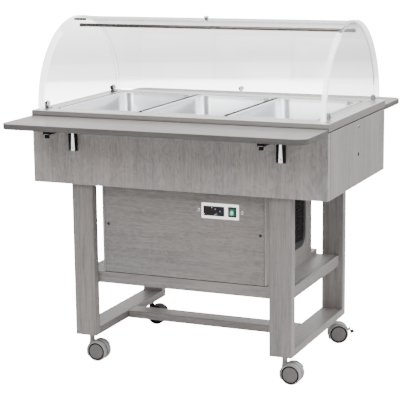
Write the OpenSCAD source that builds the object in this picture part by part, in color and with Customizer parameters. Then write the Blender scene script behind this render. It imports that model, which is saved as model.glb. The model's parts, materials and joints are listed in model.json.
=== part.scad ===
// Mobile salad bar: a chilled well with three lift-out pans under a clear roll-top dome,
// in a wood-clad body on four legs, with folding shelves and twin-wheel casters.
// X runs along the length, the customer's side is -Y, and Z = 0 is the floor.

/* [Body] */
// Width of the body's top beyond the pans, at each end
end_margin = 66.5; // [60:0.5:120]
// Width of the body's top beyond the pans, at front and rear
side_margin = 67; // [60:0.5:120]
// Height of the stainless rim's top above the floor
top_z = 936; // [900:2:1000]
// Height of the body's side panels
body_h = 231.5; // [225:0.5:260]
// Thickness of the body's panels
panel_t = 19; // [16:1:22]
// Thickness of the board that closes the body below
base_t = 18; // [15:1:22]

/* [Rim and well] */
// Height of the stainless rim
rim_h = 28; // [24:1:40]
// How far the rim stands out past the wooden body
rim_over = 2; // [1:0.5:4]
// Sheet thickness of the rim
rim_sheet = 2; // [1.5:0.5:3]
// Width of the ledge that carries the pans
ledge_w = 12; // [10:1:14]
// Width of the rim's folded bottom edge
rim_return = 22; // [18:1:28]
// Thickness of the dark seal under the rim
seal_t = 2.5; // [2:0.5:4]
// How far the seal sits back from the body's face
seal_inset = 4; // [2:0.5:6]
// Width of the seal
seal_w = 13; // [10:1:14]
// Height of the tank below the ledge
tank_h = 204; // [180:2:208]
// Sheet thickness of the tank
tank_sheet = 1.5; // [1:0.5:2]
// Width of the tank's flange
tank_flange = 10; // [8:1:12]
// Gap at the seams between the tank's sheets
tank_seam = 0.3; // [0.2:0.1:0.5]
// Thickness of the insulation beside the tank
foam_t = 25; // [15:1:30]
// Inner radius of the drain pipe
drain_r = 13; // [10:1:16]
// Wall of the drain pipe
drain_wall = 3; // [2:0.5:4]

/* [Pans] */
// Length of a pan, front to back
pan_l = 530; // [500:5:560]
// Width of a pan
pan_w = 325; // [300:5:330]
// Depth of a pan
pan_depth = 100; // [60:5:170]
// Gap round each pan's flange
pan_gap = 3; // [2:0.5:4]
// Height of a pan's turned-down flange
flange_h = 5; // [4:0.5:8]
// How far the flange reaches past the bowl
flange_w = 11; // [10:0.5:14]
// Sheet thickness of a pan
pan_sheet = 1.2; // [0.8:0.1:2]
// Corner radius of a pan's bowl
pan_corner = 42; // [25:1:60]
// Width of the bars between pans
bar_w = 16; // [10:1:18]
// Height of the bars between pans
bar_h = 8; // [6:1:14]

/* [Frame] */
// Width of a leg
leg_w = 84; // [60:1:90]
// Thickness of a leg
leg_t = 35; // [30:1:45]
// Distance from the body's end to a leg
leg_inset_x = 138; // [100:2:150]
// Distance from the body's front to a leg
leg_inset_y = 28; // [22:1:40]
// Thickness of the flat rails at the feet
low_rail_t = 28; // [22:1:35]
// Width of the stretcher between the low rails
stretcher_w = 76; // [60:1:120]
// Height of the middle rails
mid_rail_h = 42; // [28:1:45]
// Thickness of the middle rails
mid_rail_t = 20; // [16:1:24]
// How far the side rails sit in from the legs' outer faces
mid_rail_inset = 16; // [6:1:20]
// Thickness of the deck between the middle rails
deck_t = 18; // [12:1:22]

/* [Unit box] */
// Distance from the box to a leg, along the length
box_gap = 20; // [16:1:40]
// Distance from the box's rear to a rear leg
box_rear_gap = 66; // [40:2:90]
// Height of the box
box_h = 331; // [320:1:360]
// Thickness of the box's boards
board_t = 18; // [15:1:20]
// Distance from the box's front and rear to a vent
vent_side = 76; // [60:2:90]
// Distance from the body down to the vents
vent_drop = 28; // [20:1:60]
// Height of a vent's lower edge above the box's floor
vent_rise = 49; // [30:1:60]
// Corner radius of a vent
vent_corner = 50; // [30:1:60]
// Width of the border round a vent's grid
vent_border = 10; // [8:1:16]
// Thickness of a vent grille
vent_t = 3; // [2:0.5:5]
// Spacing of the vent's holes
mesh_pitch = 24; // [20:1:40]
// Strip left between the vent's holes
mesh_strip = 3; // [2:0.5:6]

/* [Dome] */
// Distance from the body's front and rear to the dome
dome_side = 19; // [17:1:24]
// Height of the dome's centre above the rim
dome_rise = 2; // [1:0.5:6]
// Distance from the body's end to the dome
dome_inset = 15; // [12:1:30]
// Thickness of a dome end
end_t = 4; // [3:0.5:6]
// Width of the curved track on each end
track_w = 16; // [14:1:24]
// Radial height of the track
track_h = 15; // [14.5:0.5:16]
// Depth of the track's grooves
groove_d = 12; // [10:1:13]
// Thickness of a shell
shell_t = 3; // [2:0.2:3]
// Clearance of a shell in its groove
shell_gap = 0.3; // [0.3:0.05:0.5]
// Radial spacing of the two shells
shell_step = 6; // [5.5:0.5:6]
// Angle that one shell covers
shell_sweep = 90; // [89:0.2:91]
// Angle of a closed shell's lower edge above the dome's centre
shell_low = 0.8; // [0.6:0.1:1.2]
// Angle that the front shell is rolled back from closed
front_open = 78.6; // [70:0.1:79]
// Angle of a knob above its shell's lower edge
knob_rise = 3.8; // [3:0.1:5]
// Diameter of a shell's knob
knob_d = 19; // [14:1:20]
// Height of a shell's knob
knob_h = 13; // [10:1:16]
// Diameter of the tie rod
rod_d = 14; // [10:1:18]
// Distance of the tie rod behind the middle
rod_y = 15; // [0:1:25]
// Distance of the tie rod inside the rear shell
rod_clear = 18.6; // [16:0.2:40]
// Length of the rubber buffer on the front shell
buffer_l = 48; // [30:1:70]
// Distance of the dome's thumb screws from its front and rear
clamp_inset = 50; // [46:1:80]
// Diameter of a thumb knob
thumb_d = 24; // [16:1:26]
// Thickness of a thumb knob
thumb_t = 11; // [8:1:14]
// Radius of the dome's thumb screws
thumb_screw_r = 3; // [2.5:0.5:4]

/* [Shelves] */
// Depth of a folding shelf
shelf_d = 228; // [180:2:240]
// Thickness of a folding shelf
shelf_t = 20; // [16:1:24]
// Corner radius of a folding shelf
shelf_corner = 40; // [20:1:60]
// Gap between a shelf and the body
shelf_gap = 4; // [3:0.5:6]
// How far a shelf's top lies below the rim's top
shelf_drop = 19; // [16:1:22]
// Distance from the body's ends to the brackets
bracket_inset = 166; // [120:2:240]
// Distance from a shelf's outer edge to its arms
arm_setback = 36; // [6:1:60]
// Width of a wall channel
channel_w = 36; // [32:1:44]
// Height of a wall channel
channel_l = 106; // [90:1:130]
// Depth of a wall channel
channel_d = 20; // [20:0.5:21]
// Sheet thickness of a wall channel
channel_t = 2.5; // [2:0.5:3]
// Width of a shelf arm
arm_w = 24; // [20:1:26]
// Height of a shelf arm
arm_h = 16; // [15:0.5:17]
// Radius of the shelf pivots
pivot_r = 3; // [2.5:0.5:4]
// Clearance of a pivot in its bore
pivot_gap = 0.05; // [0.03:0.01:0.08]
// Height of a release lever
lever_h = 24; // [16:1:26]
// Thickness of a release lever
lever_t = 12; // [8:1:14]

/* [Casters] */
// Radius of a wheel
wheel_r = 37.5; // [35:0.5:40]
// Width of one wheel
wheel_w = 20.5; // [16:0.5:24]
// Half of the gap between twin wheels
wheel_gap = 6.5; // [6:0.1:8]
// Height of a caster
caster_h = 104; // [100:1:120]
// Distance of a stem from the nearest leg, towards the middle
caster_in = 12; // [12:1:60]
// Angle that the rear right caster is turned
rear_turn = 22.5; // [0:0.5:90]
// Distance of the axle behind the stem
trail = 28; // [24:1:32]
// Radius of an axle
axle_r = 4; // [3:0.5:6]
// Radius of a stem's pin
stem_r = 5.5; // [5:0.5:6]
// Radius of a stem's neck
neck_r = 9.5; // [9:0.5:11]
// Radial clearance of a pin in its bore
run_gap = 0.04; // [0.02:0.01:0.08]

/* [Controls] */
// Left edge of the control plate from the middle
plate_x = 74; // [60:1:80]
// Width of the control plate
plate_w = 141; // [136:1:160]
// Height of the control plate
plate_h = 55; // [50:1:70]
// Thickness of the control plate
plate_t = 2; // [1.5:0.5:3]
// Distance from the box's top to the control plate
plate_drop = 46; // [30:1:80]
// Width of the thermostat
thermo_w = 78; // [74:1:80]
// Height of the thermostat
thermo_h = 34; // [32:1:36]
// Depth of the thermostat behind the panel
thermo_d = 60; // [40:1:70]
// Radius of a key
key_r = 3.5; // [2.5:0.5:4]
// Travel of a key
key_travel = 1; // [0.5:0.1:1.5]
// Width of the rocker switch's frame
rocker_w = 31; // [28:1:33]
// Height of the rocker switch's frame
rocker_h = 36; // [33:1:40]
// Angle that the rocker is pressed to each side
rocker_tilt = 7; // [4:1:9]

/* [Hidden] */
$fn = 48;
eps = 0.01;
seat = 0.3;

// Body: the pans' recess, and the panels round it
recess_l = 3 * pan_w + 4 * pan_gap;
recess_w = pan_l + 2 * pan_gap;
body_l = recess_l + 2 * end_margin;
body_w = recess_w + 2 * side_margin;
panel_top = top_z - rim_h - seal_t;
body_z = panel_top - body_h;
half_l = body_l / 2;
half_w = body_w / 2;

// Rim: the ledge that carries the pans
hole_l = recess_l - 2 * ledge_w;
hole_w = recess_w - 2 * ledge_w;
ledge_z = top_z - flange_h;
ledge_under = ledge_z - rim_sheet;
rim_l = body_l + 2 * rim_over;
rim_w = body_w + 2 * rim_over;
tank_z = ledge_under - tank_h;
base_top = body_z + base_t;
foam_gap = 3;

// Frame
leg_x = half_l - leg_inset_x;
leg_y = half_w - leg_inset_y;
leg_mid_x = leg_x - leg_w / 2;
leg_mid_y = leg_y - leg_t / 2;
leg_in_x = leg_x - leg_w;
leg_in_y = leg_y - leg_t;
mid_rail_x = leg_x - mid_rail_inset;
box_z = body_z - box_h;
mid_rail_z = box_z - mid_rail_h;
box_x = leg_in_x - box_gap;
box_front_y = -leg_in_y;
box_back_y = leg_in_y - box_rear_gap;
box_d = box_back_y - box_front_y;
vent_w = box_d - 2 * vent_side;
vent_y = (box_front_y + box_back_y) / 2;
vent_h = box_h - board_t - vent_rise - vent_drop;
vent_z = box_z + board_t + vent_rise + vent_h / 2;
vent_frame = 16;

// Cooling unit
coil_t = 55;
coil_w = vent_w - 66;
coil_h = 230;
coil_x = box_x - board_t - vent_t - 12;
fan_r = 90;
fan_gap = 4;
shroud_t = 14;
motor_r = 30;
motor_l = 40;
motor_gap = 22;
shaft_r = 4;
shaft_l = 16;
hub_r = 20;
hub_l = 24;
hub_gap = 4;
blade_w = 34;
arm_t = 10;
unit_z = box_z + board_t;
fan_z = unit_z + coil_h / 2 + 6;
comp_r = 74;
comp_h = 170;
comp_x = -40;
comp_y = vent_y;
tube_r = 5;
suction_x = comp_x - 40;
hot_x = comp_x + 40;
coil_in_x = coil_x - 20;
pipe_rise = 20;
drain_x = -200;
drain_y = 100;
drain_out_z = unit_z + 40;
drain_out = 22;
gland_x = 200;
gland_z = unit_z + 60;
gland_bore = 5;
gland_r = 12;
gland_l = 12;

// Dome
dome_z = top_z + dome_rise;
dome_r = half_w - dome_side;
dome_x = half_l - dome_inset;
end_in_x = dome_x - end_t;
track_x = end_in_x - track_w;
shell_x = end_in_x - track_w + groove_d - 2;
outer_r = dome_r - 3;
front_r = outer_r - shell_t;
rear_r = front_r - shell_step;
foot_t = 2.5;
foot_l = 22;
foot_w = 20;
clamp_y = dome_r - clamp_inset;
clamp_z = top_z + foot_t + seat + thumb_d / 2;
clamp_hole = thumb_screw_r + 0.2;
front_low = 180 - shell_low - front_open;
groove_slack = 0.06;
buffer_a = 0.85;
rod_r = rear_r - rod_clear - rod_d / 2;
rod_z = dome_z + sqrt(pow(rod_r, 2) - pow(rod_y, 2));
front_knob_a = front_low - knob_rise;
knob_seat = 0.25;
washer_t = 2;
stud_r = 2.5;

// Shelves and their brackets
shelf_z = top_z - shelf_drop;
arm_top = shelf_z - shelf_t;
pivot_z = arm_top - arm_h / 2;
pivot_y = -half_w - channel_t - 1.5 - seat - arm_h / 2;
shelf_in_y = -half_w - shelf_gap;
shelf_out_y = shelf_in_y - shelf_d;
arm_end_y = shelf_out_y + arm_setback;
arm_wall = 2.5;
channel_top = arm_top - 1;
lever_y = arm_end_y + 7;
bracket_x = half_l - bracket_inset;
lever_pin_r = 2;

// Casters
caster_y = leg_in_y - caster_in;
stem_z = caster_h - 3;
socket_r = 9;
socket_l = low_rail_t - 5;
stem_l = socket_l - 3;
hood_r = wheel_r + 3.5;
hood_in = wheel_r + 0.8;
hood_w = 2 * (wheel_gap + wheel_w) - 2;
web_w = 2 * (wheel_gap - 0.5);
pedal_r = 33;
pedal_a = 20;
pedal_pin = 2;

// Controls
plate_top = body_z - plate_drop;
thermo_x = plate_x + 8.5;
thermo_z = plate_top - plate_h / 2;
rocker_x = plate_x + plate_w - 9 - rocker_w / 2;
front_y = box_front_y;
face_y = front_y - plate_t;
case_front = face_y - 6;
case_wall = 3;

// Colours
wood = [0.60, 0.58, 0.56];
steel = [0.75, 0.75, 0.74];
clear = [0.85, 0.88, 0.90, 0.35];
dark = [0.10, 0.10, 0.11];

// A box given by its low and high corners
module block(lo, hi) {
    translate(lo) cube(hi - lo);
}

// A box centred on the Z axis, between two heights
module slab(size_x, size_y, z_low, z_high) {
    block([-size_x / 2, -size_y / 2, z_low], [size_x / 2, size_y / 2, z_high]);
}

// A rectangle with round corners
module round_rect(size_x, size_y, corner) {
    union() {
        square([size_x - 2 * corner, size_y], center = true);
        square([size_x, size_y - 2 * corner], center = true);
        for (sx = [-1, 1], sy = [-1, 1])
            translate([sx * (size_x / 2 - corner), sy * (size_y / 2 - corner)])
                circle(corner);
    }
}

// A cylinder along X, centred on a point
module rod_x(centre, radius, length) {
    translate(centre) rotate([0, 90, 0]) cylinder(r = radius, h = length, center = true);
}

// A cylinder along Y, from a point towards +Y
module rod_y(start, radius, length) {
    translate(start) rotate([-90, 0, 0]) cylinder(r = radius, h = length);
}

// Both ends of the length
module both_ends() {
    for (side = [0, 1]) mirror([side, 0, 0]) children();
}

// A curved band about X, between two radii, from one angle to another above +Y
module arc_band(r_in, r_out, a_low, a_high, x_low, x_high) {
    translate([x_low, 0, dome_z])
        rotate([90, 0, 90])
            rotate([0, 0, a_low])
                rotate_extrude(angle = a_high - a_low, $fn = 160)
                    translate([r_in, 0]) square([r_out - r_in, x_high - x_low]);
}

// ---- Wooden body ----

module long_panels() {
    color(wood) for (side = [0, 1]) mirror([0, side, 0])
        block([-half_l, -half_w, body_z], [half_l, panel_t - half_w, panel_top]);
}

module side_panels() {
    color([0.67, 0.66, 0.64]) both_ends() difference() {
        block([half_l - panel_t, panel_t - half_w, body_z],
              [half_l, half_w - panel_t, panel_top]);
        for (z = side_screws)
            rod_x([half_l, side_screw_y, z], screw_r + 0.1, 2 * screw_l);
    }
}

module base_board() {
    color(wood) difference() {
        slab(body_l - 2 * panel_t, body_w - 2 * panel_t, body_z, base_top);
        translate([drain_x, drain_y, body_z - 1])
            cylinder(r = drain_r + drain_wall + 1, h = base_t + 2);
        translate([suction_x, comp_y, body_z - 1])
            cylinder(r = tube_r + 1, h = base_t + 2);
    }
}

// ---- Screws that show ----

screw_r = 2;
screw_l = 16;
screw_head_r = 4.5;
screw_head_t = 1.5;
side_screw_y = 5;
side_screw_drop = 25;
side_screw_pitch = 98;
side_screws = [panel_top - side_screw_drop, panel_top - side_screw_drop - side_screw_pitch];
box_screw_in = 24;
box_screw_drop = 150;
plate_screw_gap = 11.5;
front_screws = [
    [box_screw_in - box_x, body_z - box_screw_drop],
    [box_x - box_screw_in, body_z - box_screw_drop],
    [plate_x - plate_screw_gap, thermo_z],
    [plate_x + plate_w + plate_screw_gap, thermo_z]
];

module screw_holes() {
    for (s = front_screws)
        rod_y([s[0], front_y - 1, s[1]], screw_r + 0.1, screw_l + 2);
}

module body_screws() {
    color(steel) {
        both_ends() for (z = side_screws) {
            rod_x([half_l + screw_head_t / 2, side_screw_y, z], screw_head_r, screw_head_t);
            rod_x([half_l - screw_l / 2 + eps, side_screw_y, z], screw_r, screw_l);
        }
        for (s = front_screws) {
            rod_y([s[0], front_y - screw_head_t, s[1]], screw_head_r, screw_head_t);
            rod_y([s[0], front_y - eps, s[1]], screw_r, screw_l);
        }
    }
}

// ---- Rim, seal and well ----

module top_rim() {
    color(steel) difference() {
        slab(rim_l, rim_w, top_z - rim_h, top_z);
        slab(recess_l, recess_w, ledge_z, top_z + 1);
        slab(hole_l, hole_w, top_z - rim_h - 1, top_z + 1);
        difference() {
            slab(rim_l - 2 * rim_sheet, rim_w - 2 * rim_sheet,
                 top_z - rim_h + rim_sheet, top_z - rim_sheet);
            slab(recess_l + 2 * rim_sheet, recess_w + 2 * rim_sheet,
                 top_z - rim_h, top_z);
        }
        slab(rim_l - 2 * rim_return, rim_w - 2 * rim_return,
             top_z - rim_h - 1, top_z - rim_h + rim_sheet + eps);
        slab(recess_l + 2 * rim_sheet, recess_w + 2 * rim_sheet,
             top_z - rim_h - 1, ledge_under);
    }
}

module rim_seal() {
    color(dark) difference() {
        slab(body_l - 2 * seal_inset, body_w - 2 * seal_inset, panel_top, panel_top + seal_t);
        slab(body_l - 2 * (seal_inset + seal_w), body_w - 2 * (seal_inset + seal_w),
             panel_top - 1, panel_top + seal_t + 1);
    }
}

// Five sheets: a floor, two long walls and two end walls, each wall with a flange folded out
module well_tank() {
    wall_l = hole_l + 2 * tank_sheet;
    wall_w = hole_w + 2 * tank_sheet;
    color(steel) union() {
        difference() {
            slab(wall_l, wall_w, tank_z, tank_z + tank_sheet);
            translate([drain_x, drain_y, tank_z - 1]) cylinder(r = drain_r, h = tank_sheet + 2);
        }
        for (side = [0, 1]) mirror([0, side, 0])
            tank_wall(wall_l, wall_w, wall_l + 2 * tank_flange);
        both_ends() rotate([0, 0, 90])
            tank_wall(hole_w - 2 * tank_seam, wall_l, hole_w - 2 * tank_seam);
    }
}

// One wall of the tank, standing along X on its negative Y side
module tank_wall(wall_len, across, flange_len) {
    low = tank_z + tank_sheet + tank_seam;
    block([-wall_len / 2, -across / 2, low],
          [wall_len / 2, -across / 2 + tank_sheet, ledge_under]);
    block([-flange_len / 2, -across / 2 - tank_flange, ledge_under - tank_sheet],
          [flange_len / 2, -across / 2 + tank_sheet, ledge_under]);
}

module well_insulation() {
    wall_l = hole_l + 2 * tank_sheet;
    wall_w = hole_w + 2 * tank_sheet;
    color([0.9, 0.85, 0.6]) difference() {
        slab(wall_l + 2 * foam_t, wall_w + 2 * foam_t, base_top, panel_top - foam_gap);
        slab(wall_l, wall_w, tank_z, panel_top);
        translate([drain_x, drain_y, base_top - 1])
            cylinder(r = drain_r + drain_wall + 1, h = tank_z - base_top + 2);
        translate([suction_x, comp_y, base_top - 1])
            cylinder(r = tube_r + 1, h = tank_z - base_top + 2);
    }
}

module pan_bars() {
    color(steel) both_ends()
        block([(pan_w + pan_gap) / 2 - bar_w / 2, -hole_w / 2, ledge_z - bar_h],
              [(pan_w + pan_gap) / 2 + bar_w / 2, hole_w / 2, ledge_z]);
}

module pan(place) {
    bowl_w = pan_w - 2 * flange_w;
    bowl_l = pan_l - 2 * flange_w;
    color([0.82, 0.83, 0.84]) translate([place * (pan_w + pan_gap), 0, top_z])
        difference() {
            union() {
                translate([0, 0, -flange_h]) linear_extrude(flange_h)
                    round_rect(pan_w, pan_l, 12);
                translate([0, 0, -pan_depth]) linear_extrude(pan_depth - pan_sheet)
                    round_rect(bowl_w, bowl_l, pan_corner);
            }
            difference() {
                translate([0, 0, -flange_h - 1]) linear_extrude(flange_h + 1 - pan_sheet)
                    round_rect(pan_w - 2 * pan_sheet, pan_l - 2 * pan_sheet, 12 - pan_sheet);
                translate([0, 0, -flange_h - 2]) linear_extrude(flange_h + 3)
                    round_rect(bowl_w, bowl_l, pan_corner);
            }
            translate([0, 0, pan_sheet - pan_depth]) linear_extrude(pan_depth + 1)
                round_rect(bowl_w - 2 * pan_sheet, bowl_l - 2 * pan_sheet,
                           pan_corner - pan_sheet);
        }
}

module pan_left() { pan(-1); }
module pan_middle() { pan(0); }
module pan_right() { pan(1); }

// ---- Frame ----

module four_corners(corner_y) {
    for (sx = [-1, 1], sy = [-1, 1])
        translate([sx * leg_mid_x, sy * corner_y, 0]) children();
}

module legs() {
    color(wood) four_corners(leg_mid_y) slab(leg_w, leg_t, caster_h, body_z);
}

// The low rails carry the casters' sockets
module side_rails() {
    color(wood) both_ends() {
        difference() {
            block([leg_in_x, -leg_in_y, caster_h], [leg_x, leg_in_y, caster_h + low_rail_t]);
            for (sy = [-1, 1]) translate([leg_mid_x, sy * caster_y, caster_h - 1])
                cylinder(r = socket_r + 0.1, h = socket_l + 1.3);
        }
        block([mid_rail_x - mid_rail_t, -leg_in_y, mid_rail_z],
              [mid_rail_x, leg_in_y, box_z]);
    }
}

// The low stretcher, the middle rails along the body and the deck inside them
module cross_rails() {
    color(wood) {
        block([-leg_in_x, -stretcher_w / 2, caster_h],
              [leg_in_x, stretcher_w / 2, caster_h + low_rail_t]);
        slab(2 * (mid_rail_x - mid_rail_t - seat), 2 * (leg_in_y - mid_rail_t - seat),
             box_z - seat - deck_t, box_z - seat);
        for (side = [0, 1]) mirror([0, side, 0])
            block([mid_rail_t - mid_rail_x, -leg_in_y, mid_rail_z],
                  [mid_rail_x - mid_rail_t, mid_rail_t - leg_in_y, box_z]);
    }
}

// ---- Box for the cooling unit ----

module vent_shape(width, height, corner) {
    rotate([90, 0, 90]) linear_extrude(4 * board_t, center = true)
        round_rect(width, height, corner);
}

module box_carcass() {
    in_y = box_front_y + board_t;
    color(wood) {
        block([-box_x, in_y, box_z], [box_x, leg_in_y, box_z + board_t]);
        both_ends() difference() {
            block([box_x - board_t, in_y, box_z + board_t], [box_x, box_back_y, body_z]);
            translate([box_x, vent_y, vent_z])
                vent_shape(vent_w - 2 * vent_frame, vent_h - 2 * vent_frame,
                           vent_corner - vent_frame);
        }
        difference() {
            block([board_t - box_x, box_back_y - board_t, box_z + board_t],
                  [box_x - board_t, box_back_y, body_z]);
            rod_y([drain_x, box_back_y - board_t - 1, drain_out_z],
                  drain_r + drain_wall + 0.5, board_t + 2);
            rod_y([gland_x, box_back_y - board_t - 1, gland_z], gland_bore + 3.2, board_t + 2);
        }
    }
}

module box_front() {
    color(wood) difference() {
        block([-box_x, box_front_y, box_z], [box_x, box_front_y + board_t, body_z]);
        block([thermo_x + 2, box_front_y - 1, thermo_z - thermo_h / 2 + 2],
              [thermo_x + thermo_w - 2, box_front_y + board_t + 1, thermo_z + thermo_h / 2 - 2]);
        block([rocker_x - rocker_w / 2 + 1, box_front_y - 1, thermo_z - rocker_h / 2 + 1],
              [rocker_x + rocker_w / 2 - 1, box_front_y + board_t + 1,
               thermo_z + rocker_h / 2 - 1]);
        screw_holes();
    }
}

module vent_grilles() {
    grid_w = vent_w - 2 * vent_frame - 2 * vent_border;
    grid_h = vent_h - 2 * vent_frame - 2 * vent_border;
    row = mesh_pitch * sin(60);
    rows = floor(grid_h / row / 2);
    columns = floor(grid_w / mesh_pitch / 2);
    color(dark) both_ends() translate([box_x, vent_y, vent_z])
        rotate([90, 0, 90]) linear_extrude(vent_t) difference() {
            round_rect(vent_w, vent_h, vent_corner);
            for (j = [-rows : rows], i = [-columns : columns]) {
                shift = (abs(j) % 2) * mesh_pitch / 2;
                spot = [i * mesh_pitch + shift, j * row];
                if (in_vent(spot, grid_w / 2 - mesh_pitch / 2, grid_h / 2 - row / 2))
                    translate(spot) rotate([0, 0, 30])
                        circle(r = (mesh_pitch - mesh_strip) / sqrt(3), $fn = 6);
            }
        }
}

// Whether a hole's centre keeps clear of the vent's round corners
function in_vent(p, half_x, half_y) =
    let (cx = half_x - vent_corner + vent_frame, cy = half_y - vent_corner + vent_frame)
    abs(p[0]) <= half_x && abs(p[1]) <= half_y
    && (abs(p[0]) <= cx || abs(p[1]) <= cy
        || norm([abs(p[0]) - cx, abs(p[1]) - cy]) <= vent_corner - vent_frame);

module compressor() {
    color(dark) {
        translate([comp_x, comp_y, unit_z + 10]) cylinder(r = comp_r, h = comp_h - 40);
        translate([comp_x, comp_y, unit_z + comp_h - 30 - eps])
            cylinder(r1 = comp_r, r2 = comp_r - 22, h = 30);
        block([comp_x - comp_r - 8, comp_y - 60, unit_z],
              [comp_x + comp_r + 8, comp_y + 60, unit_z + 10 + eps]);
    }
}

module condenser() {
    fins = 20;
    color([0.7, 0.72, 0.72]) {
        difference() {
            block([coil_x - coil_t, vent_y - coil_w / 2, unit_z],
                  [coil_x, vent_y + coil_w / 2, unit_z + coil_h]);
            for (i = [0 : fins - 1])
                translate([coil_x - coil_t - 1, vent_y - coil_w / 2 + 8 + i * 12.4, unit_z + 10])
                    cube([16, 8, coil_h - 20]);
        }
    }
}

module fan_shroud() {
    plate_lo = coil_x - coil_t - shroud_t;
    motor_end = plate_lo - motor_gap;
    color(dark) {
        difference() {
            block([plate_lo, vent_y - coil_w / 2, unit_z],
                  [coil_x - coil_t, vent_y + coil_w / 2, unit_z + coil_h]);
            rod_x([plate_lo, vent_y, fan_z], fan_r + fan_gap, 3 * shroud_t);
        }
        for (a = [45 : 90 : 315])
            translate([motor_end, vent_y, fan_z]) rotate([a, 0, 0]) {
                block([-8, motor_r - 4, -arm_t / 2], [-2, fan_r + 14, arm_t / 2]);
                block([-8, fan_r + 8, -arm_t / 2], [motor_gap, fan_r + 14, arm_t / 2]);
            }
        difference() {
            rod_x([motor_end - motor_l / 2, vent_y, fan_z], motor_r, motor_l);
            rod_x([motor_end, vent_y, fan_z], shaft_r + run_gap, 2 * shaft_l + 8);
        }
    }
}

module fan() {
    motor_end = coil_x - coil_t - shroud_t - motor_gap;
    hub_mid = motor_end + hub_gap + hub_l / 2;
    color([0.2, 0.2, 0.22]) translate([0, vent_y, fan_z]) {
        rod_x([hub_mid, 0, 0], hub_r, hub_l);
        rod_x([motor_end + (hub_gap - shaft_l) / 2, 0, 0], shaft_r, shaft_l + hub_gap + eps);
        for (a = [0 : 72 : 288])
            rotate([a, 0, 0]) translate([hub_mid, 0, hub_r - 4]) rotate([0, 0, 35])
                block([-1, -blade_w / 2, 0], [1, blade_w / 2, fan_r - hub_r + 2]);
    }
}

module pipework() {
    low = unit_z + comp_h + seat;
    bend_z = unit_z + coil_h + pipe_rise;
    color([0.72, 0.45, 0.2]) {
        translate([suction_x, comp_y, low]) cylinder(r = tube_r, h = tank_z - seat - low);
        translate([hot_x, comp_y, low]) cylinder(r = tube_r, h = bend_z - low);
        translate([hot_x, comp_y, bend_z]) sphere(r = tube_r);
        rod_x([(hot_x + coil_in_x) / 2, comp_y, bend_z], tube_r, coil_in_x - hot_x);
        translate([coil_in_x, comp_y, bend_z]) sphere(r = tube_r);
        translate([coil_in_x, comp_y, bend_z - pipe_rise + seat])
            cylinder(r = tube_r, h = pipe_rise - seat);
    }
}

module drain_pipe() {
    outer = drain_r + drain_wall;
    run = box_back_y - drain_y;
    color([0.85, 0.85, 0.85]) translate([drain_x, drain_y, drain_out_z]) difference() {
        union() {
            cylinder(r = outer, h = tank_z - drain_out_z);
            sphere(r = outer);
            rod_y([0, 0, 0], outer, run);
            rod_y([0, run - eps, 0], outer - 1, drain_out + eps);
        }
        cylinder(r = drain_r, h = tank_z - drain_out_z + 1);
        sphere(r = drain_r);
        rod_y([0, 0, 0], drain_r, run + drain_out + 1);
    }
}

module cable_gland() {
    color(dark) difference() {
        union() {
            rod_y([gland_x, box_back_y, gland_z], gland_r, gland_l);
            rod_y([gland_x, box_back_y - board_t - 3, gland_z], gland_bore + 3, board_t + 4);
            rod_y([gland_x, box_back_y - board_t - 4, gland_z], gland_r, 4);
        }
        rod_y([gland_x, box_back_y - board_t - 5, gland_z], gland_bore, board_t + gland_l + 6);
    }
}

// ---- Controls on the box ----

module control_plate() {
    color([0.93, 0.93, 0.92]) difference() {
        block([plate_x, face_y, plate_top - plate_h], [plate_x + plate_w, front_y, plate_top]);
        block([thermo_x + 3, face_y - 1, thermo_z - thermo_h / 2 + 3],
              [thermo_x + thermo_w - 3, front_y + 1, thermo_z + thermo_h / 2 - 3]);
        block([rocker_x - rocker_w / 2 + 2, face_y - 1, thermo_z - rocker_h / 2 + 2],
              [rocker_x + rocker_w / 2 - 2, front_y + 1, thermo_z + rocker_h / 2 - 2]);
    }
}

// Keys: place from the thermostat's left edge, and height from its middle
key_spots = [[47, 8], [51, -9], [65, 1]];
pocket_d = 8;

module thermostat() {
    color(dark) difference() {
        union() {
            block([thermo_x, case_front, thermo_z - thermo_h / 2],
                  [thermo_x + thermo_w, face_y, thermo_z + thermo_h / 2]);
            block([thermo_x + 3.5, face_y - eps, thermo_z - thermo_h / 2 + 3.5],
                  [thermo_x + thermo_w - 3.5, face_y + thermo_d,
                   thermo_z + thermo_h / 2 - 3.5]);
        }
        for (k = key_spots) {
            rod_y([thermo_x + k[0], case_front - 1, thermo_z + k[1]], key_r + 0.25, 6);
            rod_y([thermo_x + k[0], case_front + case_wall, thermo_z + k[1]],
                  key_r + 1.4, pocket_d);
        }
    }
}

module key(which) {
    k = key_spots[which];
    wall_back = case_front + case_wall;
    back = case_front + case_wall + pocket_d;
    color([0.25, 0.25, 0.27]) {
        rod_y([thermo_x + k[0], case_front - 1.2, thermo_z + k[1]], key_r, case_wall + 1.8);
        rod_y([thermo_x + k[0], wall_back + seat, thermo_z + k[1]], key_r + 1, 1.2);
        rod_y([thermo_x + k[0], wall_back + 1.2, thermo_z + k[1]], 1.5,
              back - wall_back - 1.2 - key_travel - seat);
    }
}

module set_key() { key(0); }
module up_key() { key(1); }
module down_key() { key(2); }

rocker_body_h = rocker_h - 11;
rocker_body_w = rocker_w - 10;
rocker_y = face_y - 1;

module rocker_frame() {
    well_w = rocker_body_w + 1;
    well_h = rocker_body_h + 2.4;
    color(dark) difference() {
        union() {
            block([rocker_x - rocker_w / 2, face_y - 2, thermo_z - rocker_h / 2],
                  [rocker_x + rocker_w / 2, face_y, thermo_z + rocker_h / 2]);
            block([rocker_x - rocker_w / 2 + 2.3, face_y - eps, thermo_z - rocker_h / 2 + 2.3],
                  [rocker_x + rocker_w / 2 - 2.3, face_y + 22, thermo_z + rocker_h / 2 - 2.3]);
        }
        block([rocker_x - well_w / 2, face_y - 3, thermo_z - well_h / 2],
              [rocker_x + well_w / 2, face_y + 8, thermo_z + well_h / 2]);
        rod_x([rocker_x, rocker_y + 3, thermo_z], 1.5 + pivot_gap, rocker_body_w + 3.6);
    }
}

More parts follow.
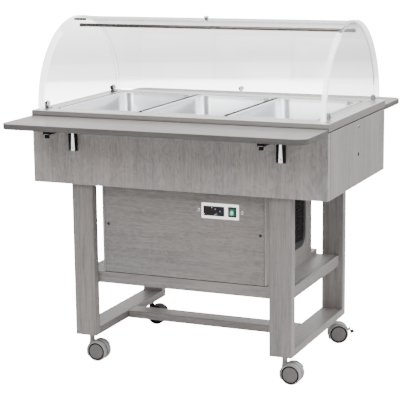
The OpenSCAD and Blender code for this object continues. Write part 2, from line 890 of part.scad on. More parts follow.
module rocker() {
    color([0.1, 0.55, 0.2]) translate([rocker_x, rocker_y + 3, thermo_z])
        rotate([-rocker_tilt, 0, 0]) {
            block([-rocker_body_w / 2, -6, -rocker_body_h / 2],
                  [rocker_body_w / 2, 3, rocker_body_h / 2]);
            rod_x([0, 0, 0], 1.5, rocker_body_w + 3);
        }
}

// ---- Dome ----

module dome_ends() {
    color(clear) both_ends() difference() {
        union() {
            difference() {
                rod_x([dome_x - end_t / 2, 0, dome_z], dome_r, end_t, $fn = 160);
                block([0, -dome_r - 1, dome_z - dome_r - 1], [dome_x + 1, dome_r + 1, top_z]);
                for (sy = [-1, 1])
                    rod_x([dome_x, sy * clamp_y, clamp_z], clamp_hole, 3 * end_t);
            }
            arc_band(dome_r - track_h, dome_r, 0, 180, track_x, end_in_x + eps);
        }
        arc_band(rear_r - shell_gap, rear_r + shell_t + shell_gap,
                 shell_low - groove_slack, 180 - shell_low + groove_slack,
                 track_x - 1, track_x + groove_d);
        arc_band(front_r - shell_gap, outer_r + shell_gap,
                 front_low - shell_sweep - groove_slack, 180 - shell_low + groove_slack,
                 track_x - 1, track_x + groove_d);
    }
}

module dome_feet() {
    color(steel) both_ends() for (sy = [-1, 1]) translate([0, sy * clamp_y, 0]) difference() {
        union() {
            block([end_in_x - foot_l, -foot_w / 2, top_z], [end_in_x, foot_w / 2, top_z + foot_t]);
            block([end_in_x - foot_t, -foot_w / 2, top_z], [end_in_x, foot_w / 2, clamp_z + 9]);
        }
        rod_x([end_in_x, 0, clamp_z], clamp_hole, 3 * foot_t);
    }
}

module thumb_screws() {
    head_t = 4;
    shank_l = foot_t + end_t + 2;
    color(steel) both_ends() for (sy = [-1, 1]) translate([0, sy * clamp_y, clamp_z]) {
        rod_x([end_in_x - foot_t - thumb_t / 2, 0, 0], thumb_d / 2, thumb_t);
        rod_x([(end_in_x - foot_t + dome_x) / 2, 0, 0], thumb_screw_r, shank_l);
        rod_x([dome_x + head_t / 2, 0, 0], 2 * thumb_screw_r, head_t);
    }
}

module tie_rod() {
    color(steel) rod_x([0, rod_y, rod_z], rod_d / 2, 2 * end_in_x);
}

// A turned knob, from its face on the shell outwards, with a stud through the shell
// and a flat washer on the other face
module shell_knob() {
    rod_y([0, knob_seat, 0], knob_d / 2, knob_h);
    rod_y([0, -shell_t - 1, 0], stud_r, shell_t + 1 + 2 * knob_seat);
    rod_y([0, -shell_t - knob_seat - washer_t, 0], 7, washer_t);
}

// A curved shell with its knob's hole
module shell(angle_low, knob_angle, r_shell) {
    color(clear) difference() {
        arc_band(r_shell, r_shell + shell_t, angle_low, angle_low + shell_sweep,
                 -shell_x, shell_x);
        translate([0, 0, dome_z]) rotate([knob_angle, 0, 0])
            rod_y([0, r_shell - 1, 0], stud_r + 0.1, shell_t + 2);
    }
}

module rear_shell() { shell(shell_low, shell_low + knob_rise, rear_r); }

// The rear knob faces inwards, so that its shell rolls under the front one
module rear_knob() {
    color(dark) translate([0, 0, dome_z]) rotate([shell_low + knob_rise, 0, 0])
        translate([0, rear_r, 0]) mirror([0, 1, 0]) shell_knob();
}

module front_shell() { shell(front_low - shell_sweep, front_knob_a, front_r); }

module front_knob() {
    color(dark) translate([0, 0, dome_z]) rotate([front_knob_a, 0, 0])
        translate([0, outer_r, 0]) shell_knob();
}

module front_buffer() {
    left = seat - track_x;
    color(dark) arc_band(front_r - 0.5, outer_r + 0.5, front_low, front_low + buffer_a,
                         left, left + buffer_l);
}

// ---- Folding shelves ----

module shelf_board() {
    corner_y = shelf_out_y + shelf_corner;
    translate([0, 0, arm_top]) linear_extrude(shelf_t) union() {
        translate([-half_l, corner_y]) square([body_l, shelf_in_y - corner_y]);
        translate([shelf_corner - half_l, shelf_out_y])
            square([body_l - 2 * shelf_corner, shelf_corner + 1]);
        for (sx = [-1, 1])
            translate([sx * (half_l - shelf_corner), corner_y]) circle(shelf_corner);
    }
}

// One arm: a channel open below, round at its pivot, with the lever's bores
module shelf_arm() {
    difference() {
        union() {
            block([-arm_w / 2, arm_end_y, arm_top - arm_h], [arm_w / 2, pivot_y, arm_top]);
            rod_x([0, pivot_y, pivot_z], arm_h / 2, arm_w);
        }
        block([arm_wall - arm_w / 2, arm_end_y - 1, arm_top - arm_h - 1],
              [arm_w / 2 - arm_wall, pivot_y - arm_h, arm_top - arm_wall]);
        rod_x([0, pivot_y, pivot_z], pivot_r + pivot_gap, arm_w + 2);
        rod_x([0, lever_y, pivot_z], lever_pin_r + pivot_gap, arm_w + 2);
    }
}

module release_lever() {
    lever_w = arm_w - 2 * arm_wall - 1;
    top = pivot_z + 3;
    difference() {
        block([-lever_w / 2, lever_y - lever_t / 2, top - lever_h],
              [lever_w / 2, lever_y + lever_t / 2, top]);
        rod_x([0, lever_y - lever_t / 2, top - lever_h * 0.62], 1.5, lever_w + 2);
    }
    rod_x([0, lever_y, pivot_z], lever_pin_r, arm_w);
}

module wall_channel() {
    in_w = channel_w - 2 * channel_t;
    difference() {
        union() {
            block([-channel_w / 2, -half_w - channel_d, channel_top - channel_l],
                  [channel_w / 2, -half_w, pivot_z]);
            block([-channel_w / 2, pivot_y, pivot_z - eps], [channel_w / 2, -half_w, channel_top]);
            rod_x([0, pivot_y, pivot_z], arm_h / 2 - 0.5, channel_w);
        }
        block([-in_w / 2, -half_w - channel_d - 1, channel_top - channel_l - 1],
              [in_w / 2, -half_w - channel_t, channel_top + 1]);
    }
    rod_x([0, pivot_y, pivot_z], pivot_r, channel_w + 3);
}

module catch_strip() {
    low = channel_top - channel_l + 2;
    y_back = -half_w - channel_t;
    difference() {
        translate([0, y_back, 0]) rotate([90, 0, 0]) linear_extrude(1.5)
            polygon([[-10, low], [10, low], [5, channel_top - 2], [-5, channel_top - 2]]);
        rod_y([0, y_back - 2, low + 16], 2.5, 3);
    }
}

module pair_of_brackets() {
    for (sx = [-1, 1]) translate([sx * bracket_x, 0, 0]) children();
}

module wall_channels() {
    color(steel) for (side = [0, 1]) mirror([0, side, 0]) pair_of_brackets() wall_channel();
}

module catch_strips() {
    color([0.88, 0.88, 0.88])
        for (side = [0, 1]) mirror([0, side, 0]) pair_of_brackets() catch_strip();
}

module front_shelf() { color([0.72, 0.71, 0.70]) shelf_board(); }
module front_arms() { color(dark) pair_of_brackets() shelf_arm(); }
module front_release() { color(dark) pair_of_brackets() release_lever(); }
module rear_shelf() { color([0.72, 0.71, 0.70]) mirror([0, 1, 0]) shelf_board(); }
module rear_arms() { color(dark) mirror([0, 1, 0]) pair_of_brackets() shelf_arm(); }
module rear_release() { color(dark) mirror([0, 1, 0]) pair_of_brackets() release_lever(); }

// ---- Casters ----

module caster_sockets() {
    color(dark) four_corners(caster_y) difference() {
        union() {
            translate([0, 0, caster_h - eps]) cylinder(r = socket_r, h = socket_l + eps);
            translate([0, 0, stem_z]) cylinder(r = socket_r + 2.5, h = 3);
        }
        translate([0, 0, stem_z - 1]) cylinder(r = stem_r + run_gap, h = socket_l + 8);
    }
}

// A disc about Y at the wheel's centre
module wheel_disc(radius, y_low, y_high) {
    rod_y([trail, y_low, wheel_r], radius, y_high - y_low);
}

module swivel(braked) {
    difference() {
        union() {
            difference() {
                union() {
                    wheel_disc(hood_r, -hood_w / 2, hood_w / 2);
                    translate([0, 0, wheel_r]) cylinder(r = neck_r, h = stem_z - seat - wheel_r);
                }
                wheel_disc(hood_in, -hood_w, hood_w);
                translate([trail, 0, wheel_r]) rotate([0, -32, 0])
                    block([-2 * hood_r, -hood_w, -2 * hood_r], [2 * hood_r, hood_w, 0]);
            }
            intersection() {
                wheel_disc(hood_in + 1, -web_w / 2, web_w / 2);
                translate([trail, 0, wheel_r]) rotate([0, -32, 0])
                    block([-2 * hood_r, -hood_w, -14], [2 * hood_r, hood_w, 2 * hood_r]);
            }
            translate([0, 0, stem_z - seat - eps]) cylinder(r = stem_r, h = stem_l);
        }
        wheel_disc(axle_r + run_gap, -web_w, web_w);
        if (braked)
            translate([trail, 0, wheel_r]) rotate([0, -pedal_a, 0])
                block([pedal_r - 9, -3, -14], [hood_r + 4, 3, 8]);
    }
    if (braked) translate([trail, 0, wheel_r]) rotate([0, -pedal_a, 0])
        rod_y([pedal_r, -web_w / 2, 0], pedal_pin, web_w);
}

module wheel_pair() {
    outer = wheel_gap + wheel_w;
    difference() {
        union() {
            for (side = [0, 1]) mirror([0, side, 0]) wheel_disc(wheel_r, wheel_gap, outer);
            wheel_disc(axle_r, -wheel_gap - 1, wheel_gap + 1);
        }
        for (side = [0, 1]) mirror([0, side, 0]) difference() {
            wheel_disc(wheel_r - 3, outer - 1.2, outer + 1);
            wheel_disc(wheel_r - 6.5, outer - 2, outer + 2);
        }
    }
}

// A foot pedal that turns on a pin between the wheels
module pedal() {
    translate([trail, 0, wheel_r]) rotate([0, -pedal_a, 0]) difference() {
        union() {
            rod_y([pedal_r, -2.6, 0], 5, 5.2);
            block([pedal_r, -2.6, -5], [hood_r + 5, 2.6, 3]);
            block([hood_r + 3, -14, -16], [hood_r + 8, 14, 3]);
            for (sy = [-1, 1])
                block([hood_r + 3, sy * 9 - 5, -16], [hood_r + 18, sy * 9 + 5, -11]);
        }
        rod_y([pedal_r, -4, 0], pedal_pin + pivot_gap, 8);
    }
}

module at_corner(sx, sy, turn = 0) {
    translate([sx * leg_mid_x, sy * caster_y, 0]) rotate([0, 0, turn]) children();
}

hood_grey = [0.72, 0.72, 0.71];
module front_left_swivel() { color(hood_grey) at_corner(-1, -1) swivel(false); }
module front_right_swivel() { color(hood_grey) at_corner(1, -1) swivel(false); }
module rear_left_swivel() { color(dark) at_corner(-1, 1) swivel(true); }
module rear_right_swivel() { color(hood_grey) at_corner(1, 1, rear_turn) swivel(true); }
module front_left_wheels() { color(hood_grey) at_corner(-1, -1) wheel_pair(); }
module front_right_wheels() { color(hood_grey) at_corner(1, -1) wheel_pair(); }
module rear_left_wheels() { color(hood_grey) at_corner(-1, 1) wheel_pair(); }
module rear_right_wheels() { color(hood_grey) at_corner(1, 1, rear_turn) wheel_pair(); }
module left_pedal() { color(dark) at_corner(-1, 1) pedal(); }
module right_pedal() { color(dark) at_corner(1, 1, rear_turn) pedal(); }

long_panels();
side_panels();
base_board();
top_rim();
rim_seal();
well_tank();
well_insulation();
pan_bars();
legs();
side_rails();
cross_rails();
body_screws();
box_carcass();
box_front();
vent_grilles();
compressor();
condenser();
fan_shroud();
fan();
pipework();
drain_pipe();
cable_gland();
control_plate();
thermostat();
set_key();
up_key();
down_key();
rocker_frame();
rocker();
dome_ends();
dome_feet();
thumb_screws();
tie_rod();
rear_shell();
rear_knob();
front_shell();
front_knob();
front_buffer();
pan_left();
pan_middle();
pan_right();
wall_channels();
catch_strips();
front_shelf();
front_arms();
front_release();
rear_shelf();
rear_arms();
rear_release();
caster_sockets();
front_left_swivel();
front_right_swivel();
rear_left_swivel();
rear_right_swivel();
front_left_wheels();
front_right_wheels();
rear_left_wheels();
rear_right_wheels();
left_pedal();
right_pedal();
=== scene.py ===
"""Looks for a mobile salad bar: grey-stained boards, stainless well, clear dome, casters."""

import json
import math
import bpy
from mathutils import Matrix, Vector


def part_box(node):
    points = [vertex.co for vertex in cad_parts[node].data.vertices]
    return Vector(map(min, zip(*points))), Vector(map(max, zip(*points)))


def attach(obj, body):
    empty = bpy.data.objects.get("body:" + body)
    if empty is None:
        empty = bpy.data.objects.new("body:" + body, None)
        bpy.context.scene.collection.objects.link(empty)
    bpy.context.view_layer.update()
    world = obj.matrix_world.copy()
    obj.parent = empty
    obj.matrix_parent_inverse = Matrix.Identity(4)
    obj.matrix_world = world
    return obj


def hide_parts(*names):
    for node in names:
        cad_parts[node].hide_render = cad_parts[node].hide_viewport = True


bl_info = {
    "name": "Mobile Salad Bar",
    "version": (1, 0, 0),
    "blender": (4, 5, 0),
    "location": "View3D > Sidebar > Salad Bar",
    "description": "Dresses the packed salad bar with boards, steel, acrylic and casters",
    "category": "Object",
}

import bmesh
import bpy
from mathutils import Matrix, Vector

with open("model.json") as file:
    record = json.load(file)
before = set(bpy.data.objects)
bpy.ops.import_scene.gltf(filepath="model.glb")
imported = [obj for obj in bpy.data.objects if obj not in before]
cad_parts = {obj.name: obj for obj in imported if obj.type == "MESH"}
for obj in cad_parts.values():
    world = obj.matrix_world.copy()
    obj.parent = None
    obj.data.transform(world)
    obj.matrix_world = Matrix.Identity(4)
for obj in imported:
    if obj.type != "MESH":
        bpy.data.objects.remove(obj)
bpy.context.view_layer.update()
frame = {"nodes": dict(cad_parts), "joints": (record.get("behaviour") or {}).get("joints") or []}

FULL_TURN = 2 * math.pi
TOUCHING = 1e-6  # points nearer than this are one


# ---- Shader arithmetic and materials ----


class Signal:
    """A shader socket that takes part in Python arithmetic."""

    def __init__(self, finish, socket):
        self.finish = finish
        self.socket = socket

    def maths(self, operation, *values):
        names = dict(enumerate(values))
        return self.finish.node("ShaderNodeMath", {"operation": operation}, names)

    def __add__(self, other):
        return self.maths("ADD", self, other)

    __radd__ = __add__

    def __sub__(self, other):
        return self.maths("SUBTRACT", self, other)

    def __rsub__(self, other):
        return self.maths("SUBTRACT", other, self)

    def __mul__(self, other):
        return self.maths("MULTIPLY", self, other)

    __rmul__ = __mul__

    def __gt__(self, other):
        return self.maths("GREATER_THAN", self, other)

    def power(self, exponent):
        return self.maths("POWER", self, exponent)

    def ramp(self, low, high, out_low=0.0, out_high=1.0):
        values = {"Value": self, "From Min": low, "From Max": high}
        values.update({"To Min": out_low, "To Max": out_high})
        return self.finish.node("ShaderNodeMapRange", {}, values)

    def part(self, name):
        """Another output of the same node."""
        return Signal(self.finish, self.socket.node.outputs[name])


class Finish:
    """Builds the nodes of one material, or of the world."""

    def __init__(self, owner, ending="ShaderNodeOutputMaterial"):
        self.owner = owner
        self.ending = ending
        owner.use_nodes = True
        self.tree = owner.node_tree
        self.tree.nodes.clear()

    def node(self, kind, settings, values, output=0):
        made = self.tree.nodes.new(kind)
        for name, value in settings.items():
            if name == "stops":
                fill_ramp(made.color_ramp, value)
            else:
                setattr(made, name, value)
        for name, value in values.items():
            if isinstance(value, Signal):
                self.tree.links.new(value.socket, made.inputs[name])
            else:
                made.inputs[name].default_value = value
        return Signal(self, made.outputs[output]) if made.outputs else made

    def place(self, scale=(1, 1, 1), centre=(0, 0, 0)):
        """Object coordinates, moved and stretched."""
        spot = self.node("ShaderNodeTexCoord", {}, {}, "Object")
        moved = self.vector("SUBTRACT", {0: spot, 1: centre})
        return self.node("ShaderNodeMapping", {}, {"Vector": moved, "Scale": scale})

    def vector(self, operation, values, output=0):
        return self.node("ShaderNodeVectorMath", {"operation": operation}, values, output)

    def grain(self, scale, detail, roughness):
        """Noise with the same scale along every axis."""
        return self.noise(self.place((scale, scale, scale)), detail, roughness)

    def noise(self, spot, detail=3.0, roughness=0.55, distortion=0.0):
        values = {"Vector": spot, "Scale": 1.0, "Detail": detail}
        values.update({"Roughness": roughness, "Distortion": distortion})
        return self.node("ShaderNodeTexNoise", {}, values)

    def blend(self, factor, first, second):
        """A colour between two colours."""
        values = {"Factor": factor, "A": colour(first), "B": colour(second)}
        made = self.tree.nodes.new("ShaderNodeMix")
        made.data_type = "RGBA"
        for socket in made.inputs:
            if not socket.enabled or socket.name not in values:
                continue
            value = values[socket.name]
            if isinstance(value, Signal):
                self.tree.links.new(value.socket, socket)
            else:
                socket.default_value = value
        result = [socket for socket in made.outputs if socket.enabled][0]
        return Signal(self, result)

    def bump(self, height, strength=0.3, distance=0.001):
        values = {"Height": height, "Strength": strength, "Distance": distance}
        return self.node("ShaderNodeBump", {}, values)

    def surface(self, **values):
        """Ends the material in a principled shader."""
        return self.output(self.shader(**values))

    def output(self, shader):
        self.node(self.ending, {}, {"Surface": shader})
        return self.owner

    def shader(self, **values):
        names = {name.replace("_", " ").title(): value for name, value in values.items()}
        if "Specular Ior Level" in names:
            names["Specular IOR Level"] = names.pop("Specular Ior Level")
        base = names.get("Base Color")
        if base is not None:
            names["Base Color"] = colour(base)
        if "Emission Color" in names:
            names["Emission Color"] = colour(names["Emission Color"])
        return self.node("ShaderNodeBsdfPrincipled", {}, names)


def fill_ramp(band, stops):
    while len(band.elements) < len(stops):
        band.elements.new(0.5)
    for element, (position, tone) in zip(band.elements, stops):
        element.position = position
        element.color = colour(tone)


def colour(value):
    if isinstance(value, Signal):
        return value
    if isinstance(value, (int, float)):
        return (value, value, value, 1.0)
    return tuple(value)[:3] + (1.0,)


FINISHES = {}


def finish(name, make):
    """Makes a material once and keeps it."""
    if name not in FINISHES:
        FINISHES[name] = make(Finish(bpy.data.materials.new(name)))
    return FINISHES[name]


def along(axis, length_scale, cross_scale):
    """A stretch with its long way on one axis."""
    return tuple(length_scale if name == axis else cross_scale for name in "XYZ")


def stained_wood(name, axis, tone=1.0, figure=0.5, offset=(0, 0, 0), lacquer=0.3):
    """Grey-stained, lacquered boards with fibres along an axis."""
    light = Vector(bpy.context.scene.salad_colours.wood_light) * tone
    dark = Vector(bpy.context.scene.salad_colours.wood_dark) * tone

    def make(f):
        fibre = f.noise(f.place(along(axis, 9, 260), offset), 4.0, 0.7)
        streak = f.noise(f.place(along(axis, 2.2, 70), offset), 5.0, 0.62, 0.5)
        cloud = f.noise(f.place(along(axis, 1.6, 6), offset), 2.0, 0.5)
        bent = f.noise(f.place(along(axis, 9, 24), offset), 2.5, 0.5, 1.1)
        waves = (bent * 46.0).maths("SINE", bent * 46.0).ramp(-1.0, 1.0)
        pores = f.noise(f.place(along(axis, 40, 700), offset), 1.0, 0.4).ramp(0.3, 0.42)
        mixed = fibre * 0.42 + streak * 0.40 + cloud * 0.18
        grain = mixed.ramp(0.39, 0.61) * (1.0 - figure * 0.4) + waves * (figure * 0.4)
        shade = f.blend(grain, dark, light)
        warm = f.blend(cloud.ramp(0.35, 0.65), (0.985, 1.0, 1.015), (1.025, 0.995, 0.975))
        toned = f.vector("MULTIPLY", {0: shade, 1: warm})
        deep = f.vector("SCALE", {0: toned, "Scale": pores.ramp(0.0, 1.0, 0.78, 1.0)})
        height = fibre * 0.5 + streak * 0.3 + pores * 0.4
        return f.surface(
            base_color=deep,
            roughness=streak.ramp(0.3, 0.7, 0.45, 0.6),
            normal=f.bump(height, 0.16, 0.0004),
            coat_weight=lacquer,
            coat_roughness=0.16,
        )

    return finish(name, make)


def brushed_steel(name, axis, tone=(0.60, 0.585, 0.55), shine=0.3, line=500.0):
    """Stainless sheet with brush lines along an axis."""

    def make(f):
        lines = f.noise(f.place(along(axis, 3, line)), 2.0, 0.7)
        haze = f.grain(6, 3.0, 0.55)
        tint = f.blend(lines * 0.6 + haze * 0.4, Vector(tone) * 0.93, Vector(tone) * 1.05)
        rough = (lines * 0.7 + haze * 0.3).ramp(0.3, 0.7, shine * 0.82, shine * 1.2)
        return f.surface(
            base_color=tint,
            metallic=1.0,
            roughness=rough,
            normal=f.bump(lines, 0.06, 0.0002),
        )

    return finish(name, make)


def folded_steel(f, shelf_top, top, front):
    """Brushed rim steel with painted shade on its front: a painted shadow at the shelf, a painted
    dark line under the top fold and a slight darkening of the whole face.
    """
    lines = f.noise(f.place(along("X", 3, 500.0)), 2.0, 0.7)
    haze = f.grain(6, 3.0, 0.55)
    tint = f.blend(lines * 0.6 + haze * 0.4, (0.56, 0.54, 0.51), (0.63, 0.612, 0.58))
    spot = f.place()
    height = f.node("ShaderNodeSeparateXYZ", {}, {0: spot}, "Z")
    # Painted shade on the front face only: a shadow at the shelf (sunk), a dark line under the top
    # fold (fold) and 0.2 darker all over.
    facing = height.part("Y").ramp(0.002 - front, 0.0005 - front)
    sunk = height.ramp(shelf_top + 0.006, shelf_top - 0.001) * 0.6
    fold = height.ramp(top - 0.0045, top - 0.0032) * height.ramp(top - 0.0018, top - 0.0030) * 0.3
    shade = 1.0 - facing * (sunk + fold + 0.2)
    deep = f.vector("SCALE", {0: tint, "Scale": shade})
    return f.surface(
        base_color=deep,
        metallic=1.0,
        roughness=(lines * 0.7 + haze * 0.3).ramp(0.3, 0.7, 0.25, 0.36),
        normal=f.bump(lines, 0.06, 0.0002),
    )


def plated_steel():
    def make(f):
        haze = f.grain(30, 4.0, 0.6)
        return f.surface(
            base_color=f.blend(haze, (0.66, 0.665, 0.67), (0.78, 0.78, 0.78)),
            metallic=1.0,
            roughness=haze.ramp(0.3, 0.7, 0.12, 0.22),
        )

    return finish("Bright plated steel", make)


def dark_plate():
    return brushed_steel("Dark plated steel", "Z", (0.055, 0.055, 0.06), 0.25)


def pressed_steel():
    """Pan steel: bright, with the soft haze of a deep-drawn sheet."""

    def make(f):
        haze = f.grain(7, 3.0, 0.55)
        rub = f.noise(f.place((140, 6, 30)), 2.0, 0.6)
        return f.surface(
            base_color=f.blend(haze, (0.86, 0.87, 0.91), (0.93, 0.94, 0.975)),
            metallic=0.85,
            roughness=(haze * 0.6 + rub * 0.4).ramp(0.3, 0.7, 0.2, 0.3),
            normal=f.bump(haze, 0.05, 0.001),
        )

    return finish("Pan steel", make)


def moulded(name, tone, rough=0.45, grain=900.0, depth=0.12, glow=0.0):
    """Moulded plastic or paint with a fine skin grain; glow is light painted into it."""

    def make(f):
        skin = f.grain(grain, 2.0, 0.5)
        scuff = f.grain(35, 4.0, 0.65)
        base = Vector(tone)
        return f.surface(
            base_color=f.blend(scuff.ramp(0.3, 0.75), base * 0.9, base * 1.12),
            roughness=(scuff * 0.6 + skin * 0.4).ramp(0.3, 0.7, rough * 0.85, rough * 1.15),
            normal=f.bump(skin, depth, 0.0002),
            specular_ior_level=0.5 if base.length > 0.02 else 0.15,
            emission_color=base,
            emission_strength=glow,
        )

    return finish(name, make)


def tyre_rubber(name, tone):
    tone = Vector(tone)

    def make(f):
        skin = f.grain(600, 3.0, 0.6)
        dirt = f.grain(45, 4.0, 0.65)
        return f.surface(
            base_color=f.blend(dirt.ramp(0.35, 0.7), tone, tone * 0.78),
            roughness=dirt.ramp(0.3, 0.7, 0.55, 0.75),
            normal=f.bump(skin, 0.2, 0.0003),
        )

    return finish(name, make)


def clear_sheet(name, cover, tone=(0.80, 0.815, 0.825), rough=0.04, glow=0.0, shine=0.85):
    """Clear acrylic with faint smears; cover is how much one face hides, and glow is light painted
    into the sheet, which is no lamp.
    """

    def make(f):
        smear = f.noise(f.place((2.2, 5, 5)), 3.0, 0.5)
        haze = f.shader(
            base_color=f.blend(smear, Vector(tone) * 0.97, tone),
            alpha=smear.ramp(0.3, 0.7, cover * 0.9, cover * 1.1),
            roughness=smear.ramp(0.3, 0.7, rough, rough * 2.0),
            emission_color=tone,
            emission_strength=glow,
        )
        mirror = f.shader(base_color=(0.96, 0.97, 0.98), metallic=1.0, roughness=0.03)
        glance = f.node("ShaderNodeLayerWeight", {}, {"Blend": 0.5}, "Facing")
        share = glance.power(5.0) * shine + shine * 0.047
        return f.output(f.node("ShaderNodeMixShader", {}, {0: share, 1: haze, 2: mirror}))

    return finish(name, make)


def copper_pipe():
    def make(f):
        stain = f.grain(60, 4.0, 0.6)
        return f.surface(
            base_color=f.blend(stain, (0.60, 0.28, 0.14), (0.36, 0.16, 0.08)),
            metallic=1.0,
            roughness=stain.ramp(0.3, 0.7, 0.25, 0.5),
        )

    return finish("Copper pipe", make)


def foam_block():
    def make(f):
        cells = f.grain(400, 2.0, 0.5)
        return f.surface(
            base_color=f.blend(cells, (0.72, 0.66, 0.42), (0.82, 0.77, 0.55)),
            roughness=0.85,
            normal=f.bump(cells, 0.5, 0.0006),
        )

    return finish("Insulation foam", make)


def coil_fins():
    def make(f):
        fins = f.noise(f.place((4, 1400, 4)), 1.0, 0.5)
        return f.surface(
            base_color=f.blend(fins.ramp(0.4, 0.6), 0.18, (0.5, 0.51, 0.52)),
            metallic=1.0,
            roughness=0.45,
            normal=f.bump(fins, 0.6, 0.0008),
        )

    return finish("Coil fins", make)


# ---- Shapes, all made with mesh operators ----


def since(items, before):
    """What a mesh has now and hadn't when a set was taken."""
    return [item for item in items if item not in before]


def painted(mesh, before, material):
    """Gives the faces made since a set was taken one material, and returns them."""
    made = since(mesh.faces, before)
    for face in made:
        face.material_index = material
    return made


def corners(faces):
    return list({vert for face in faces for vert in face.verts})


def marked(faces, material, test):
    """Gives the faces whose middle meets a test another material."""
    for face in faces:
        if test(face.calc_center_median()):
            face.material_index = material


def verts_in(items):
    return [item for item in items if isinstance(item, bmesh.types.BMVert)]


def raised(mesh, faces, height):
    """Gives flat faces a thickness along Z."""
    pushed = bmesh.ops.extrude_face_region(mesh, geom=faces)["geom"]
    bmesh.ops.translate(mesh, vec=(0, 0, height), verts=verts_in(pushed))


def nested(half_x, half_y, rows):
    """Sections of a loft, each drawn in by the first number of its row."""
    return [(half_x - inset, half_y - inset, corner, height)
            for inset, corner, height in rows]


def rounded(mesh, geom, offset, segments, affect="VERTICES"):
    bmesh.ops.bevel(
        mesh,
        geom=geom,
        offset=offset,
        offset_type="OFFSET",
        affect=affect,
        segments=segments,
        profile=0.5,
        material=-1,
        clamp_overlap=affect == "EDGES",
    )


def soften(mesh, edges, width, segments=3):
    if width > 0:
        rounded(mesh, list(edges), width, segments, "EDGES")


def block(mesh, low, high, edge=0.0012, segments=3, material=0):
    """A board between two opposite corners, with softened edges."""
    before = set(mesh.faces)
    low, high = (Vector(tuple(map(pick, low, high))) for pick in (min, max))
    verts = bmesh.ops.create_cube(mesh, size=1.0)["verts"]
    bmesh.ops.scale(mesh, vec=high - low, verts=verts)
    bmesh.ops.translate(mesh, vec=(low + high) / 2, verts=verts)
    soften(mesh, {e for v in verts for e in v.link_edges}, edge, segments)
    return painted(mesh, before, material)


def outline(mesh, half_x, half_y, corner, height, centre=(0, 0), steps=6):
    """A rectangle with round corners, as a closed ring of edges at a height."""
    before = set(mesh.verts)
    verts = bmesh.ops.create_grid(mesh, x_segments=1, y_segments=1, size=1.0)["verts"]
    bmesh.ops.scale(mesh, vec=(half_x, half_y, 1), verts=verts)
    if corner > 0:
        rounded(mesh, verts, corner, steps)
    verts = since(mesh.verts, before)
    faces = list({f for v in verts for f in v.link_faces})
    bmesh.ops.delete(mesh, geom=faces, context="FACES_ONLY")
    bmesh.ops.translate(mesh, vec=(centre[0], centre[1], height), verts=verts)
    return list({e for v in verts for e in v.link_edges})


def lofted(mesh, sections, centre=(0, 0), cap=(False, False), closed=False, material=0):
    """Skins a run of round-cornered rectangles: (half_x, half_y, corner, height)."""
    before = set(mesh.faces)
    first = ring = outline(mesh, *sections[0], centre=centre)
    if cap[0]:
        bmesh.ops.contextual_create(mesh, geom=first)
    run = sections + [sections[0]] if closed else sections
    for old, new in zip(run, run[1:]):
        grown = bmesh.ops.extrude_edge_only(mesh, edges=ring)["geom"]
        verts = {item for item in grown if isinstance(item, bmesh.types.BMVert)}
        ring = [item for item in grown if isinstance(item, bmesh.types.BMEdge)
                and verts.issuperset(item.verts)]
        for vert in verts:
            vert.co = reshaped(vert.co, old, new, centre)
    if cap[1]:
        bmesh.ops.contextual_create(mesh, geom=ring)
    if closed:
        ends = list({vert for edge in first + ring for vert in edge.verts})
        bmesh.ops.remove_doubles(mesh, verts=ends, dist=TOUCHING)
    return painted(mesh, before, material)


def reshaped(spot, old, new, centre):
    """Carries a point of one round-cornered rectangle to the same place on another."""
    moved = []
    for value, middle, old_half, new_half in zip(spot, centre, old, new):
        way = 1 if value > middle else -1
        turn = ((value - middle) * way - (old_half - old[2])) / old[2]
        moved.append(middle + way * (new_half - new[2] + new[2] * turn))
    return Vector((moved[0], moved[1], new[3]))


def spun(mesh, points, start, sweep, steps, closed):
    """Turns a run or ring of (radius, height) points about Z; a full turn joins up."""
    verts = [mesh.verts.new((radius, 0, height)) for radius, height in points]
    nexts = verts[1:] + verts[:1] if closed else verts[1:]
    edges = [mesh.edges.new(pair) for pair in zip(verts, nexts)]
    bmesh.ops.rotate(mesh, verts=verts, cent=(0, 0, 0), matrix=Matrix.Rotation(start, 3, "Z"))
    bmesh.ops.spin(
        mesh,
        geom=verts + edges,
        cent=(0, 0, 0),
        axis=(0, 0, 1),
        dvec=(0, 0, 0),
        angle=sweep,
        steps=steps,
        use_merge=sweep == FULL_TURN,
        use_normal_flip=False,
        use_duplicate=False,
    )


def turned(mesh, profile, matrix=Matrix(), steps=40, material=0):
    """Turns a run of (radius, height) points about Z, then places it."""
    before = set(mesh.faces)
    spun(mesh, profile, 0.0, FULL_TURN, steps, False)
    points = corners(since(mesh.faces, before))
    bmesh.ops.remove_doubles(mesh, verts=points, dist=TOUCHING)
    made = painted(mesh, before, material)
    bmesh.ops.transform(mesh, matrix=matrix, verts=corners(made))
    return made


def bent_strip(mesh, section, start, sweep, matrix, steps=64, material=0):
    """Sweeps a closed section of (radius, height) points round an arc, with closed ends."""
    before = set(mesh.faces)
    spun(mesh, section, start, sweep, steps, True)
    points = corners(since(mesh.faces, before))
    rim = {edge for vert in points for edge in vert.link_edges if edge.is_boundary}
    bmesh.ops.holes_fill(mesh, edges=list(rim), sides=0)
    bmesh.ops.transform(mesh, matrix=matrix, verts=points)
    return painted(mesh, before, material)


def about_x(x, y, z, way=1):
    """Turns a shape made about Z to point along X, one way or the other, at a point."""
    return Matrix.Translation((x, y, z)) @ Matrix.Rotation(way * math.pi / 2, 4, "Y")


def about_y(x, y, z):
    """Turns a shape made about Z to point along -Y, at a point."""
    return Matrix.Translation((x, y, z)) @ Matrix.Rotation(math.pi / 2, 4, "X")


def facing_x(way, x, y, z):
    """Turns a shape drawn flat, its height on Z, to face along X, one way or the other."""
    return Matrix(((0, 0, way, x), (1, 0, 0, y), (0, 1, 0, z), (0, 0, 0, 1)))


def ridged(mesh, faces, inset, depth):
    """Raises a rib on each face, or sinks a field into it."""
    bmesh.ops.inset_individual(mesh, faces=faces, thickness=inset, depth=depth)


